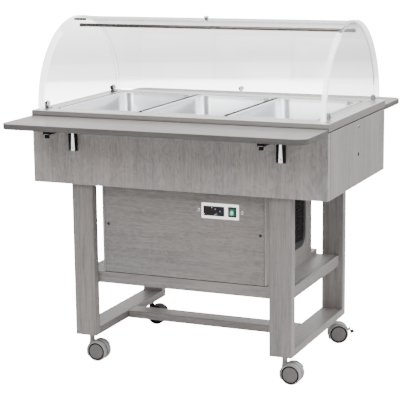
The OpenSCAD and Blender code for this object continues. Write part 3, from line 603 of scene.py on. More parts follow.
def add_piece(mesh, name, body, materials, replaces=(), sharp=35, weighted=True):
    """Turns the mesh into an object that rides on a body."""
    bmesh.ops.recalc_face_normals(mesh, faces=mesh.faces)
    data = bpy.data.meshes.new(name)
    mesh.to_mesh(data)
    mesh.free()
    data.polygons.foreach_set("use_smooth", [True] * len(data.polygons))
    data.set_sharp_from_angle(angle=math.radians(sharp))
    for material in materials:
        data.materials.append(material)
    piece = bpy.data.objects.new(name, data)
    bpy.context.scene.collection.objects.link(piece)
    if weighted:
        soft = piece.modifiers.new("Weighted normals", "WEIGHTED_NORMAL")
        soft.keep_sharp = True
    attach(piece, body)
    if replaces:
        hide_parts(*replaces)
    return piece


def paint(material, *names):
    """Gives CAD nodes a material."""
    for name in names:
        node = frame["nodes"][name]
        node.data.materials.clear()
        node.data.materials.append(material)


def middle(node):
    low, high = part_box(node)
    return (low + high) / 2


def levels(node, axis, low=-9.0, high=9.0, right=False):
    """Lowest and highest place along an axis of a CAD node's corners within a height band."""
    solid = frame["nodes"][node]
    points = [solid.matrix_world @ vert.co for vert in solid.data.vertices]
    found = [spot[axis] for spot in points if low < spot.z < high and (spot.x > 0 or not right)]
    return min(found), max(found)


def steps_of(node, axis):
    """Each distance from the middle, along an axis, at which a CAD node has corners."""
    places = {round(abs(vert.co[axis]), 5) for vert in frame["nodes"][node].data.vertices}
    return sorted(places)


def mirrored(low, high, ways):
    """A box's corners carried to each quarter that is named by signs of X and Y."""
    for sx, sy in ways:
        yield (sx * low[0], sy * low[1], low[2]), (sx * high[0], sy * high[1], high[2])


QUARTERS = ((-1, -1), (1, -1), (-1, 1), (1, 1))
ENDS = ((-1, 1), (1, 1))
SIDES = ((1, -1), (1, 1))


# ---- What a user would change ----


class SaladSizes(bpy.types.PropertyGroup):
    """Sizes of the trim that the model's solids leave plain."""

    board_edge: bpy.props.FloatProperty(
        name="Board edge", description="Rounding of the boards' edges",
        default=0.0014, min=0.0, max=0.004, subtype="DISTANCE", unit="LENGTH",
    )
    leg_edge: bpy.props.FloatProperty(
        name="Leg edge", description="Rounding of the legs' edges",
        default=0.0035, min=0.0, max=0.01, subtype="DISTANCE", unit="LENGTH",
    )
    lipping: bpy.props.FloatProperty(
        name="Lipping", description="Width of the solid strips on the box front's ends",
        default=0.009, min=0.004, max=0.02, subtype="DISTANCE", unit="LENGTH",
    )
    grille_pitch: bpy.props.FloatProperty(
        name="Grille pitch", description="Spacing of the holes in the vent grilles",
        default=0.0125, min=0.008, max=0.03, subtype="DISTANCE", unit="LENGTH",
    )
    seal_show: bpy.props.FloatProperty(
        name="Seal line", description="How far the dark seal shows above the boards",
        default=0.0018, min=0.0, max=0.004, subtype="DISTANCE", unit="LENGTH",
    )
    pan_shy: bpy.props.FloatProperty(
        name="Pan gap", description="How much each pan's rolled edge is drawn in",
        default=0.0011, min=0.0, max=0.002, subtype="DISTANCE", unit="LENGTH",
    )
    joint: bpy.props.FloatProperty(
        name="Corner joint", description="Width of the shaded joint at the body's corners",
        default=0.003, min=0.0005, max=0.006, subtype="DISTANCE", unit="LENGTH",
    )
    shell_t: bpy.props.FloatProperty(
        name="Dome sheet", description="Thickness of the dome's sheets",
        default=0.003, min=0.002, max=0.005, subtype="DISTANCE", unit="LENGTH",
    )


class SaladColours(bpy.types.PropertyGroup):
    """Colours of the finishes."""

    wood_light: bpy.props.FloatVectorProperty(
        name="Light grain", description="Light tone of the stained wood",
        default=(0.372, 0.350, 0.338), subtype="COLOR", min=0.0, max=1.0,
    )
    wood_dark: bpy.props.FloatVectorProperty(
        name="Dark grain", description="Dark tone of the stained wood",
        default=(0.212, 0.196, 0.188), subtype="COLOR", min=0.0, max=1.0,
    )
    tyre: bpy.props.FloatVectorProperty(
        name="Tyre", description="Colour of the wheels' treads",
        default=(0.42, 0.42, 0.41), subtype="COLOR", min=0.0, max=1.0,
    )
    wheel_cover: bpy.props.FloatVectorProperty(
        name="Wheel cover", description="Colour of the wheels' disc covers",
        default=(0.165, 0.153, 0.148), subtype="COLOR", min=0.0, max=1.0,
    )
    hood: bpy.props.FloatVectorProperty(
        name="Caster hood", description="Colour of the casters' hoods",
        default=(0.32, 0.32, 0.315), subtype="COLOR", min=0.0, max=1.0,
    )
    switch: bpy.props.FloatVectorProperty(
        name="Switch", description="Colour of the rocker switch",
        default=(0.008, 0.105, 0.055), subtype="COLOR", min=0.0, max=1.0,
    )


# ---- Boards ----

SHADE_IN = 0.002  # how far a joint's dark backing sits behind the boards' faces
SHADE_END = 0.001  # and how far it stays inside their ends


def joint_shade():
    return stained_wood("Joint shade", "Z", 0.08, 0.1)


class SALAD_OT_boards(bpy.types.Operator):
    """The wood-clad body and the front of the unit box"""

    bl_idname = "salad.boards"
    bl_label = "Body boards"

    def execute(self, context):
        sizes = context.scene.salad_sizes
        edge = sizes.board_edge
        low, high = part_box("long_panels")
        side_low, side_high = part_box("side_panels")
        thick = side_low.y - low.y
        top = high.z - sizes.seal_show
        mesh = bmesh.new()
        block(mesh, low, (high.x, low.y + thick, top), edge)
        block(mesh, (low.x, high.y - thick, low.z), (high.x, high.y, top), edge)
        wavy = stained_wood("Apron veneer", "Z", 1.32, 0.8)
        add_piece(mesh, "apron_front_and_rear", "cabinet", [wavy], ["long_panels"])
        joint = sizes.joint
        mesh = bmesh.new()
        inside, sunk = side_high.x - thick, side_high.x - SHADE_IN
        for sx in (-1, 1):
            block(mesh, (sx * inside, side_low.y + joint, low.z),
                  (sx * side_high.x, side_high.y - joint, top), edge)
            block(mesh, (sx * inside, side_low.y, low.z + SHADE_END),
                  (sx * sunk, side_high.y, top - SHADE_END), 0.0, material=1)
        plain = stained_wood("Side veneer", "Z", 1.04, 0.2, (0.4, 0, 0))
        add_piece(mesh, "apron_sides", "cabinet", [plain, joint_shade()], ["side_panels"])
        self.seal(high, top)
        paint(stained_wood("Base veneer", "X", 0.8, 0.3), "base_board")
        paint(stained_wood("Box veneer", "Z", 0.8, 0.3, (0.2, 0.1, 0)), "box_carcass")
        self.box_front(context, edge)
        return {"FINISHED"}

    def seal(self, high, top):
        """The dark strip between the boards and the rim"""
        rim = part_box("top_rim")[0].z
        inset, depth, corner, lap = 0.0008, 0.014, 0.002, 0.0004
        mesh = bmesh.new()
        lofted(mesh, nested(high.x - inset, high.y - inset, [
            (0, corner, top - lap), (0, corner, rim + lap),
            (depth, corner, rim + lap), (depth, corner, top - lap),
        ]), closed=True)
        rubber = moulded("Seal rubber", (0.010, 0.010, 0.011), 0.7)
        add_piece(mesh, "rim_seal_strip", "cabinet", [rubber], ["rim_seal"])

    def box_front(self, context, edge):
        low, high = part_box("box_front")
        sizes = context.scene.salad_sizes
        strip, foot, gap = sizes.lipping, low.z + sizes.joint, 0.0012
        mesh = bmesh.new()
        block(mesh, (low.x + strip + gap, low.y, foot),
              (high.x - strip - gap, high.y, high.z), edge * 0.5)
        block(mesh, (low.x, low.y, foot), (low.x + strip, high.y, high.z), edge * 0.6, material=1)
        block(mesh, (high.x - strip, low.y, foot), high, edge * 0.6, material=1)
        block(mesh, (low.x + SHADE_END, low.y + SHADE_IN, low.z),
              (high.x - SHADE_END, high.y, high.z - SHADE_END), 0.0, material=2)
        face = stained_wood("Box front veneer", "X", 0.84, 0.75, (0, 0, 0.3))
        lipping = stained_wood("Lipping", "Z", 1.08, 0.1)
        add_piece(mesh, "box_front_board", "cabinet", [face, lipping, joint_shade()],
                  ["box_front"])


class SALAD_OT_frame(bpy.types.Operator):
    """The legs and rails"""

    bl_idname = "salad.frame"
    bl_label = "Legs and rails"

    def execute(self, context):
        edge = context.scene.salad_sizes.leg_edge
        low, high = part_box("legs")
        rail_low, rail_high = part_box("side_rails")
        inner = levels("legs", 0, right=True)[0]
        bay = (low.z + rail_high.z) / 2
        mesh = bmesh.new()
        for box in mirrored((inner, rail_high.y, low.z), high, QUARTERS):
            block(mesh, *box, edge, 4)
        upright = stained_wood("Leg wood", "Z", 0.84, 0.1, (0.1, 0.3, 0), 0.2)
        add_piece(mesh, "leg_posts", "cabinet", [upright], ["legs"])

        low_top = levels("side_rails", 2, high=bay)[1]
        mid_foot = levels("side_rails", 2, low=bay)[0]
        mid_in, mid_out = levels("side_rails", 0, low=bay, right=True)
        mesh = bmesh.new()
        for box in mirrored((inner, rail_low.y, rail_low.z), (high.x, rail_high.y, low_top), ENDS):
            block(mesh, *box, edge * 0.7)
        for box in mirrored((mid_in, rail_low.y, mid_foot), (mid_out, rail_high.y, rail_high.z),
                            ENDS):
            block(mesh, *box, edge * 0.7)
        deep = stained_wood("Side rail wood", "Y", 0.76, 0.15, (0, 0.2, 0), 0.1)
        add_piece(mesh, "rails_front_to_back", "cabinet", [deep], ["side_rails"])
        self.crossings(edge, bay)
        return {"FINISHED"}

    def crossings(self, edge, bay):
        """The stretcher, the rails along the body and the deck inside them"""
        low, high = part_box("cross_rails")
        reach = levels("cross_rails", 0, high=bay)[1]
        half = levels("cross_rails", 1, high=bay)[1]
        flat = levels("cross_rails", 2, high=bay)[1]
        mid_foot = levels("cross_rails", 2, low=bay)[0]
        deck_x = steps_of("cross_rails", 0)[-2]
        deck_y, rail_in = steps_of("cross_rails", 1)[-3:-1]
        deck_foot, deck_top = steps_of("cross_rails", 2)[-3:-1]
        mesh = bmesh.new()
        block(mesh, (-reach, -half, low.z), (reach, half, flat), edge * 0.7)
        for box in mirrored((-high.x, rail_in, mid_foot), (high.x, high.y, high.z), SIDES):
            block(mesh, *box, edge * 0.7)
        block(mesh, (-deck_x, -deck_y, deck_foot), (deck_x, deck_y, deck_top), 0.001)
        long_way = stained_wood("Cross rail wood", "X", 0.94, 0.15, (0, 0, 0.2), 0.08)
        add_piece(mesh, "rails_lengthwise", "cabinet", [long_way], ["cross_rails"])


# ---- Stainless top, well and pans ----


class SALAD_OT_rim(bpy.types.Operator):
    """The stainless rim with its recess, folded down at the outside"""

    bl_idname = "salad.rim"
    bl_label = "Stainless rim"

    def execute(self, context):
        low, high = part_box("top_rim")
        pan_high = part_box("pan_right")[1]
        x, y, top, foot = high.x, high.y, high.z, low.z
        pan_play, pan_rim, sheet = 0.003, 0.005, 0.002
        rx, ry = pan_high.x + pan_play, pan_high.y + pan_play
        ledge = pan_high.z - pan_rim
        lip_wide = 0.0055
        sections = nested(x, y, [
            (0.022, 0.002, foot + sheet), (0.022, 0.002, foot), (0.0015, 0.003, foot),
            (0, 0.004, foot + 0.0015), (0, 0.004, top - 0.003),
            (0.0009, 0.004, top - 0.0009), (0.003, 0.004, top),
        ]) + nested(rx, ry, [
            (-lip_wide, 0.009, top), (-0.0025, 0.008, top), (-0.0006, 0.007, top - 0.0008),
            (0, 0.006, top - 0.0025), (0, 0.006, ledge), (0.012, 0.003, ledge),
            (0.012, 0.003, ledge - sheet), (-sheet, 0.006, ledge - sheet),
            (-sheet, 0.006, top - sheet),
        ]) + nested(x, y, [(sheet, 0.004, top - sheet), (sheet, 0.004, foot + sheet)])
        mesh = bmesh.new()
        lofted(mesh, sections, closed=True)
        # The lip round the pan opening gets a near-black steel: a painted dark line of shade along
        # the opening.
        marked(mesh.faces, 1, lambda spot: max(
            abs(spot.x) - rx, abs(spot.y) - ry) < lip_wide - 0.0001)
        lip = brushed_steel("Lip painted shade", "X", (0.10, 0.10, 0.105), 0.3)
        steel = finish("Rim steel", lambda f: folded_steel(f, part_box("front_shelf")[1].z, top, y))
        add_piece(mesh, "rim_sheet", "cabinet", [steel, lip], ["top_rim"], 25)
        paint(brushed_steel("Tank steel", "Z", (0.55, 0.55, 0.54), 0.35), "well_tank")
        # The bars under the pans' joins are painted near-black: painted shade that makes the gaps
        # between the pans dark.
        paint(moulded("Pan bar painted shade", (0.008, 0.008, 0.008), 0.7), "pan_bars")
        paint(foam_block(), "well_insulation")
        return {"FINISHED"}


class SALAD_OT_pans(bpy.types.Operator):
    """The three food pans"""

    bl_idname = "salad.pans"
    bl_label = "Food pans"

    def execute(self, context):
        for name, body in (("pan_left", "left_food_pan"), ("pan_middle", "middle_food_pan"),
                           ("pan_right", "right_food_pan")):
            self.pan(name, body, *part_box(name))
        return {"FINISHED"}

    def pan(self, name, body, low, high):
        centre = ((low.x + high.x) / 2, (low.y + high.y) / 2)
        shy = bpy.context.scene.salad_sizes.pan_shy
        x, y = (high.x - low.x) / 2 - shy, (high.y - low.y) / 2 - shy
        top, foot = high.z, low.z
        flange, roll = 0.0122, 0.0030
        bx, by = x - flange, y - flange
        sections = nested(x, y, [
            (0, flange, top - 0.005), (0, flange, top - 0.0018),
            (0.0005, 0.0120, top - 0.0006), (0.0018, 0.0115, top),
        ]) + nested(bx, by, [
            (-roll, 0.044, top), (-0.0009, 0.043, top - 0.0008), (0, 0.042, top - 0.0030),
            (0.0004, 0.042, top - 0.0140), (0.0022, 0.041, top - 0.0175),
            (0.0060, 0.039, foot + 0.0120), (0.0090, 0.036, foot + 0.0050),
            (0.0150, 0.030, foot + 0.0018), (0.0220, 0.024, foot + 0.0011),
        ])
        mesh = bmesh.new()
        lofted(mesh, sections, centre, cap=(False, True))
        # The right rolled edges of the left and middle pans are painted near-black, wider than the
        # real gap: painted shade where the pans meet.
        if name != "pan_right":
            edge_in, edge_foot = centre[0] + bx + roll - 0.0001, top - 0.0055
            marked(mesh.faces, 1, lambda spot: spot.x > edge_in and spot.z > edge_foot)
        black = moulded("Pan edge painted shade", (0.006, 0.006, 0.007), 0.6)
        piece = add_piece(mesh, name + "_pressing", body, [pressed_steel(), black], [name],
                          60, False)
        wall = piece.modifiers.new("Sheet", "SOLIDIFY")
        wall.thickness = 0.0009
        wall.offset = -1.0
        return piece


# ---- The unit box: vents and cooling unit ----


class SALAD_OT_vents(bpy.types.Operator):
    """The pierced vent grilles on both sides of the unit box"""

    bl_idname = "salad.vents"
    bl_label = "Vent grilles"

    def execute(self, context):
        low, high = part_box("vent_grilles")
        centre = (low + high) / 2
        half_y, half_z = (high.y - low.y) / 2, (high.z - low.z) / 2
        pitch = context.scene.salad_sizes.grille_pitch
        mesh = bmesh.new()
        for side in (-1, 1):
            self.grille(mesh, side, high.x, centre, half_y, half_z, pitch)
        black = moulded("Grille paint", (0.012, 0.012, 0.013), 0.42)
        add_piece(mesh, "pierced_grilles", "cabinet", [black], ["vent_grilles"],
                  30, False)
        return {"FINISHED"}

    def grille(self, mesh, side, x, centre, half_y, half_z, pitch):
        """A rounded frame round a field of six-sided holes."""
        start = set(mesh.verts)
        border, corner = 0.0245, 0.0255
        field_y, field_z = half_y - border, half_z - border
        lofted(mesh, nested(half_y, half_z, [
            (0, 0.05, -0.0028), (0, 0.05, -0.0008), (0.0008, 0.0492, 0.0),
            (border, corner, 0.0), (0.0250, 0.025, -0.0028),
        ]), closed=True)
        row = pitch * math.sqrt(3) / 2
        over = pitch * 0.15
        rows, columns = int(field_z / row) + 1, int(field_y / pitch) + 1
        for j in range(-rows, rows + 1):
            for i in range(-columns, columns + 1):
                spot = ((i + (j % 2) / 2) * pitch, j * row)
                if inside_round(spot, field_y + over, field_z + over, corner):
                    self.hole(mesh, spot, pitch)
        bmesh.ops.remove_doubles(mesh, verts=since(mesh.verts, start), dist=2e-5)
        bmesh.ops.transform(mesh, matrix=facing_x(side, side * x, centre.y, centre.z),
                            verts=since(mesh.verts, start))

    def hole(self, mesh, spot, pitch):
        """One six-sided cell of the sheet with its hole."""
        sunk, sheet, web = -0.0006, 0.0016, pitch * 0.13
        outer = bmesh.ops.create_circle(mesh, segments=6, radius=pitch / math.sqrt(3),
                                        cap_ends=True)
        face = outer["verts"][0].link_faces[0]
        turn = Matrix.Rotation(math.pi / 6, 4, "Z")
        shift = Matrix.Translation((spot[0], spot[1], sunk)) @ turn
        bmesh.ops.transform(mesh, matrix=shift, verts=outer["verts"])
        ridged(mesh, [face], web, 0)
        ring = list(face.edges)
        bmesh.ops.delete(mesh, geom=[face], context="FACES_ONLY")
        walls = bmesh.ops.extrude_edge_only(mesh, edges=ring)["geom"]
        bmesh.ops.translate(mesh, vec=(0, 0, -sheet), verts=verts_in(walls))


def inside_round(spot, half_x, half_y, corner):
    """Whether a point lies inside a round-cornered rectangle."""
    dx, dy = abs(spot[0]) - (half_x - corner), abs(spot[1]) - (half_y - corner)
    if dx <= 0 or dy <= 0:
        return abs(spot[0]) <= half_x and abs(spot[1]) <= half_y
    return math.hypot(dx, dy) <= corner


class SALAD_OT_cooling(bpy.types.Operator):
    """The compressor, coil, fan and pipes behind the vents"""

    bl_idname = "salad.cooling"
    bl_label = "Cooling unit"

    def execute(self, context):
        low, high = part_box("compressor")
        mid = (low + high) / 2
        mesh = bmesh.new()
        radius, tall = 0.074, high.z - low.z
        turned(mesh, [(0, tall), (0.035, tall - 0.001), (0.052, tall - 0.006),
                      (0.066, tall - 0.02), (0.072, tall - 0.036), (radius, tall - 0.05),
                      (radius, 0.085), (0.0765, 0.083), (0.0765, 0.077), (radius, 0.075),
                      (radius, 0.03), (0.068, 0.014), (0.05, 0.004), (0, 0.004)],
               Matrix.Translation((mid.x, mid.y, low.z)))
        block(mesh, (low.x, low.y + 0.016, low.z), (high.x, high.y - 0.016, low.z + 0.004), 0.001)
        shell = moulded("Compressor paint", (0.015, 0.015, 0.016), 0.35, 60.0, 0.05)
        add_piece(mesh, "compressor_pot", "cabinet", [shell], ["compressor"], 40)
        black = moulded("Shroud plastic", (0.02, 0.02, 0.021), 0.5)
        paint(black, "fan_shroud", "fan", "cable_gland")
        paint(coil_fins(), "condenser")
        paint(copper_pipe(), "pipework")
        paint(moulded("Drain plastic", (0.42, 0.42, 0.41), 0.5), "drain_pipe")
        return {"FINISHED"}


# ---- Controls ----


class SALAD_OT_controls(bpy.types.Operator):
    """The white plate with the thermostat, its keys and the lit rocker"""

    bl_idname = "salad.controls"
    bl_label = "Controls"

    def execute(self, context):
        self.plate()
        self.thermostat()
        self.keys()
        self.rocker(context)
        self.screws()
        return {"FINISHED"}

    def plate(self):
        low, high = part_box("control_plate")
        mid, half = (low + high) / 2, (high - low) / 2
        mesh = bmesh.new()
        lofted(mesh, nested(half.x, half.z, [
            (0, 0.003, 0.0), (0, 0.003, 0.0013), (0.0006, 0.0026, 0.0019),
            (0.0040, 0.002, 0.0019), (0.0046, 0.0018, 0.0013),
        ]), cap=(True, True))
        bmesh.ops.transform(mesh, matrix=about_y(mid.x, high.y, mid.z), verts=mesh.verts)
        # glow=1.3 paints light into the white plate, which is no lamp.
        white = moulded("White plate with painted glow", (0.88, 0.88, 0.87), 0.35, glow=1.3)
        add_piece(mesh, "control_surround", "cabinet", [white], ["control_plate"],
                  40)

    def thermostat(self):
        low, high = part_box("thermostat")
        plate_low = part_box("control_plate")[0]
        mid, half = (low + high) / 2, (high - low) / 2
        depth = plate_low.y - low.y
        mesh = bmesh.new()
        lofted(mesh, nested(half.x, half.z, [
            (0, 0.002, 0.0), (0, 0.002, depth * 0.55), (0.0012, 0.0016, depth * 0.9),
            (0.0024, 0.0012, depth * 0.97), (0.0034, 0.001, depth * 0.9),
        ]), cap=(True, True))
        window_wide, window_tall, window_x = 0.01875, 0.0088, -0.01525
        lofted(mesh, nested(window_wide, window_tall, [
            (0, 0.001, depth * 0.9), (0, 0.001, depth * 0.96), (0.0008, 0.0008, depth * 0.98),
        ]), (window_x, 0.0), (False, True), material=1)
        for dx, dy in ((-0.0345, -0.0105), (-0.006, 0.0122), (0.0060, -0.0122)):
            turned(mesh, [(0, depth * 0.99), (0.0009, depth * 0.98), (0.0011, depth * 0.9)],
                   Matrix.Translation((dx, dy, 0)), 12, 2)
        bmesh.ops.transform(mesh, matrix=about_y(mid.x, plate_low.y, mid.z), verts=mesh.verts)
        case = moulded("Thermostat case", (0.010, 0.0105, 0.015), 0.3, 900.0, 0.05)
        lens = finish("Display lens", display_lens)
        lamp = finish("Lamp dot", lamp_dot)
        add_piece(mesh, "thermostat_front", "cabinet", [case, lens, lamp], ["thermostat"],
                  40)

    def keys(self):
        grey = moulded("Key rubber", (0.22, 0.22, 0.235), 0.4)
        for node, body in (("set_key", "set_button"), ("up_key", "up_button"),
                           ("down_key", "down_button")):
            low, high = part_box(node)
            mid = (low + high) / 2
            radius = 0.0035
            mesh = bmesh.new()
            turned(mesh, [(0, 0.0006), (0.0015, 0.0007), (0.0026, 0.0010),
                          (radius - 0.0004, 0.0011), (radius, 0.0007), (radius, -0.0040),
                          (0, -0.0040)],
                   about_y(mid.x, low.y + 0.0011, mid.z), 28)
            add_piece(mesh, node + "_cap", body, [grey], [node], 50)

    def rocker(self, context):
        low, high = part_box("rocker_frame")
        plate_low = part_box("control_plate")[0]
        mid, half = (low + high) / 2, (high - low) / 2
        depth = plate_low.y - low.y
        mesh = bmesh.new()
        lofted(mesh, nested(half.x, half.z, [
            (0, 0.002, 0.0), (0, 0.002, depth * 0.4), (0.0010, 0.0016, depth),
            (0.0042, 0.001, depth), (0.0045, 0.001, depth - 0.0092),
        ]), cap=(True, True))
        bmesh.ops.transform(mesh, matrix=about_y(mid.x, plate_low.y, mid.z), verts=mesh.verts)
        black = moulded("Switch frame", (0.016, 0.017, 0.017), 0.3)
        add_piece(mesh, "rocker_bezel", "cabinet", [black], ["rocker_frame"], 40)
        turn, reach, tall, dish = math.radians(-7), 0.006, 0.0125, 0.0016
        mesh = bmesh.new()
        faces = block(mesh, (-0.0105, -reach, -tall), (0.0105, 0.003, tall), 0.0007)
        front = {e for f in faces for e in f.edges
                 if all(abs(v.co.y + reach) < 1e-5 for v in e.verts)
                 and abs(e.verts[0].co.z - e.verts[1].co.z) > tall * 0.8}
        cut = bmesh.ops.subdivide_edges(mesh, edges=list(front), cuts=7, use_grid_fill=True)
        for vert in verts_in(cut["geom_inner"]):
            vert.co.y += dish * (1 - (vert.co.z / tall) ** 2)
        pivot = Matrix.Translation((mid.x, plate_low.y + 0.002, mid.z))
        bmesh.ops.transform(mesh, matrix=pivot @ Matrix.Rotation(turn, 4, "X"), verts=mesh.verts)
        lens = finish("Green rocker", lambda f: green_rocker(f, mid, context))
        add_piece(mesh, "rocker_lens", "power_switch", [lens], ["rocker"], 50)

    def screws(self):
        """Cross-head screws: bronzed on the box's ends; on the sides the upper ones are capped with
        a near-black disc and the lower ones are near-black all over
        """
        box_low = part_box("box_front")[0]
        plate_low, plate_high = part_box("control_plate")
        front, level = box_low.y, middle("thermostat").z
        from_end, rise, from_plate = 0.024, 0.181, 0.0115
        upper, lower = 0.8805, 0.7825
        spots = [(sx * (abs(box_low.x) - from_end), front, box_low.z + rise) for sx in (-1, 1)]
        spots += [(plate_low.x - from_plate, front, level),
                  (plate_high.x + from_plate, front, level)]
        mesh = bmesh.new()
        for index, (x, y, z) in enumerate(spots):
            self.screw(mesh, about_y(x, y, z), 2 if index < 2 else 0)
        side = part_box("side_panels")[1].x
        for sx in (-1, 1):
            for z in (upper, lower):
                turn = about_x(sx * side, 0.005, z, sx) @ Matrix.Diagonal((1.25, 1.25, 1, 1))
                self.screw(mesh, turn, 0 if z == upper else 1)
                if z == upper:
                    turned(mesh, [(0, 0.0014), (0.0026, 0.0014), (0.0028, 0.0008)], turn, 20, 1)
        shade = moulded("Recess shade", (0.01, 0.01, 0.01), 0.6)
        bronze = moulded("Bronzed screw", (0.035, 0.028, 0.024), 0.35)
        add_piece(mesh, "cross_head_screws", "cabinet", [plated_steel(), shade, bronze],
                  ["body_screws"], 40)

    def screw(self, mesh, place, material):
        turned(mesh, [(0, 0.0012), (0.0022, 0.00115), (0.0040, 0.0009), (0.0056, 0.0003),
                      (0.0058, 0.0), (0.0018, 0.0), (0.0018, -0.012), (0, -0.0135)], place, 24,
               material)
        for turn in (0, math.pi / 2):
            slot = block(mesh, (-0.0021, -0.00045, 0.0006), (0.0021, 0.00045, 0.00125), 0,
                         material=1)
            bmesh.ops.transform(mesh, matrix=place @ Matrix.Rotation(turn, 4, "Z"),
                                verts=corners(slot))


def display_lens(f):
    depth = f.grain(90, 2.0, 0.5)
    return f.surface(base_color=f.blend(depth, (0.010, 0.004, 0.005), (0.022, 0.007, 0.008)),
                     roughness=0.12, coat_weight=0.4)


def lamp_dot(f):
    glow = f.grain(300, 1.0, 0.5)
    return f.surface(base_color=f.blend(glow, (0.8, 0.8, 0.8), (0.95, 0.95, 0.95)), roughness=0.3,
                     emission_color=(1.0, 1.0, 1.0), emission_strength=1.5)


def green_rocker(f, mid, context):
    """Green lens that is lit brighter just below its middle."""
    base = Vector(context.scene.salad_colours.switch)
    spot = f.place((1, 0.001, 0.8), (mid.x - 0.001, mid.y, mid.z - 0.002))
    apart = f.vector("LENGTH", {0: spot}, "Value")
    glow = apart.ramp(0.0085, 0.002)
    tone = f.blend(glow, base, (0.42, 0.95, 0.74))
    return f.surface(base_color=tone, emission_color=tone, emission_strength=0.6,
                     roughness=0.18, coat_weight=0.2)


# ---- Dome ----

LAND = 0.003  # width of the sheet left on each side of a groove in the tracks
APART = 0.006  # distance between the two shells, one inside the other


class SALAD_OT_dome(bpy.types.Operator):
    """The clear ends with their tracks, both shells, the knobs, feet and tie rod"""

    bl_idname = "salad.dome"
    bl_label = "Roll-top dome"

    def execute(self, context):
        rim_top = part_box("top_rim")[1].z
        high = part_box("dome_ends")[1]
        self.axis_z = rim_top + 0.002
        self.radius = high.y
        self.ends(high, rim_top)
        sheet = context.scene.salad_sizes.shell_t
        outer = self.radius - LAND - sheet
        front_low = math.radians(100.6)
        sweep = math.radians(90)
        rear_low = math.radians(0.8)
        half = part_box("front_shell")[1].x - 0.008
        self.shell("front_cover_sheet", "front_cover", "front_shell", outer, sheet,
                   front_low - sweep, sweep, half)
        self.shell("rear_cover_sheet", "rear_cover", "rear_shell", outer - APART, sheet,
                   rear_low, sweep, half)
        self.knobs(outer, sheet, front_low, rear_low)
        self.feet(high, rim_top)
        self.rod()
        self.buffer(outer, sheet, front_low)
        return {"FINISHED"}

    def buffer(self, inner, sheet, front_low):
        """The short rubber buffer on the front shell's edge"""
        low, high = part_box("front_buffer")
        lip = 0.0016
        section = [(inner - lip, low.x), (inner + sheet + lip, low.x),
                   (inner + sheet + lip, high.x), (inner - lip, high.x)]
        place = facing_x(1, 0, 0, self.axis_z)
        mesh = bmesh.new()
        bent_strip(mesh, section, front_low - math.radians(0.1), math.radians(1.15), place, 6)
        rubber = moulded("Buffer rubber", (0.008, 0.008, 0.008), 0.6)
        add_piece(mesh, "edge_buffer", "front_cover", [rubber], ["front_buffer"])

    def ends(self, high, rim_top):
        mesh = bmesh.new()
        thick = 0.004
        for side in (-1, 1):
            start = set(mesh.verts)
            disc = bmesh.ops.create_circle(mesh, segments=160, radius=self.radius, cap_ends=True)
            cut = rim_top - self.axis_z
            geom = disc["verts"] + list({e for v in disc["verts"] for e in v.link_edges})
            geom += list({f for v in disc["verts"] for f in v.link_faces})
            bmesh.ops.bisect_plane(mesh, geom=geom, dist=1e-7, plane_co=(0, cut, 0),
                                   plane_no=(0, 1, 0), clear_inner=True)
            face = [f for f in mesh.faces if all(v not in start for v in f.verts)]
            raised(mesh, face, -thick)
            fresh = since(mesh.verts, start)
            rim = list({e for v in fresh for e in v.link_edges if e.calc_face_angle(0) > 1.0})
            soften(mesh, rim, 0.0005, 2)
            fresh = since(mesh.verts, start)
            for f in {f for v in fresh for f in v.link_faces}:
                f.material_index = 0 if abs(f.normal.z) > 0.9 else 1
            bmesh.ops.transform(mesh, matrix=facing_x(side, side * high.x, 0, self.axis_z),
                                verts=fresh)
            self.track(mesh, side, high.x - thick)
        # The ends, their cut edges and the tracks all glow: painted light in clear sheets that are
        # no lamps.
        clear = clear_sheet("Clear end sheet", 0.035, (0.92, 0.93, 0.96), 0.04, 1.6)
        edge = clear_sheet("Polished sheet edge", 0.6, (0.90, 0.90, 0.94), 0.1, 0.6)
        ring = clear_sheet("Clear track", 0.02, (0.92, 0.92, 0.96), 0.12, 1.5, 0.1)
        # A near-opaque white sheet with a strong glow: a painted highlight, used on the fronts of
        # the tracks.
        track_highlight = clear_sheet("Track painted highlight", 0.62, (0.94, 0.94, 0.97), 0.2, 2.6)
        add_piece(mesh, "dome_end_plates", "cabinet", [clear, edge, ring, track_highlight],
                  ["dome_ends"], 30)

    def track(self, mesh, side, x):
        """A curved track with two grooves, one for each shell."""
        r, gap, deep, wide = self.radius, 0.0003, 0.012, 0.016
        front_in, front_out = r - 2 * LAND - gap, r - LAND + gap
        rear_in, rear_out = front_in - APART, front_out - APART
        inner = r - 5 * LAND
        section = [(inner, 0), (inner, wide), (rear_in, wide), (rear_in, wide - deep),
                   (rear_out, wide - deep), (rear_out, wide), (front_in, wide),
                   (front_in, wide - deep), (front_out, wide - deep), (front_out, wide),
                   (r, wide), (r, 0)]
        place = facing_x(-side, side * x, 0, self.axis_z)
        # The front of each track's outer half takes the painted highlight, a white band along the
        # dome end's front edge.
        front, edge = -0.45 * r, x - wide * 0.55
        marked(bent_strip(mesh, section, 0.0, math.pi, place, 120, 2), 3,
               lambda spot: spot.y < front and abs(spot.x) > edge)

    def shell(self, name, body, node, radius, sheet, start, sweep, half):
        mesh = bmesh.new()
        soft = 0.0004
        section = [(radius, -half + soft), (radius, half - soft), (radius + soft, half),
                   (radius + sheet - soft, half), (radius + sheet, half - soft),
                   (radius + sheet, -half + soft), (radius + sheet - soft, -half),
                   (radius + soft, -half)]
        place = facing_x(1, 0, 0, self.axis_z)
        faces = bent_strip(mesh, section, start, sweep, place, 96)
        for face in faces:
            spot = face.calc_center_median()
            away = Vector((0, spot.y, spot.z - self.axis_z)).normalized()
            face.material_index = 0 if abs(face.normal.dot(away)) > 0.8 else 1
        clear = clear_sheet("Clear cover", 0.03)
        # The shells' cut edges glow a little: painted light.
        cut = clear_sheet("Cover edge", 0.6, (0.84, 0.85, 0.88), 0.1, 0.5)
        add_piece(mesh, name, body, [clear, cut], [node], 30)

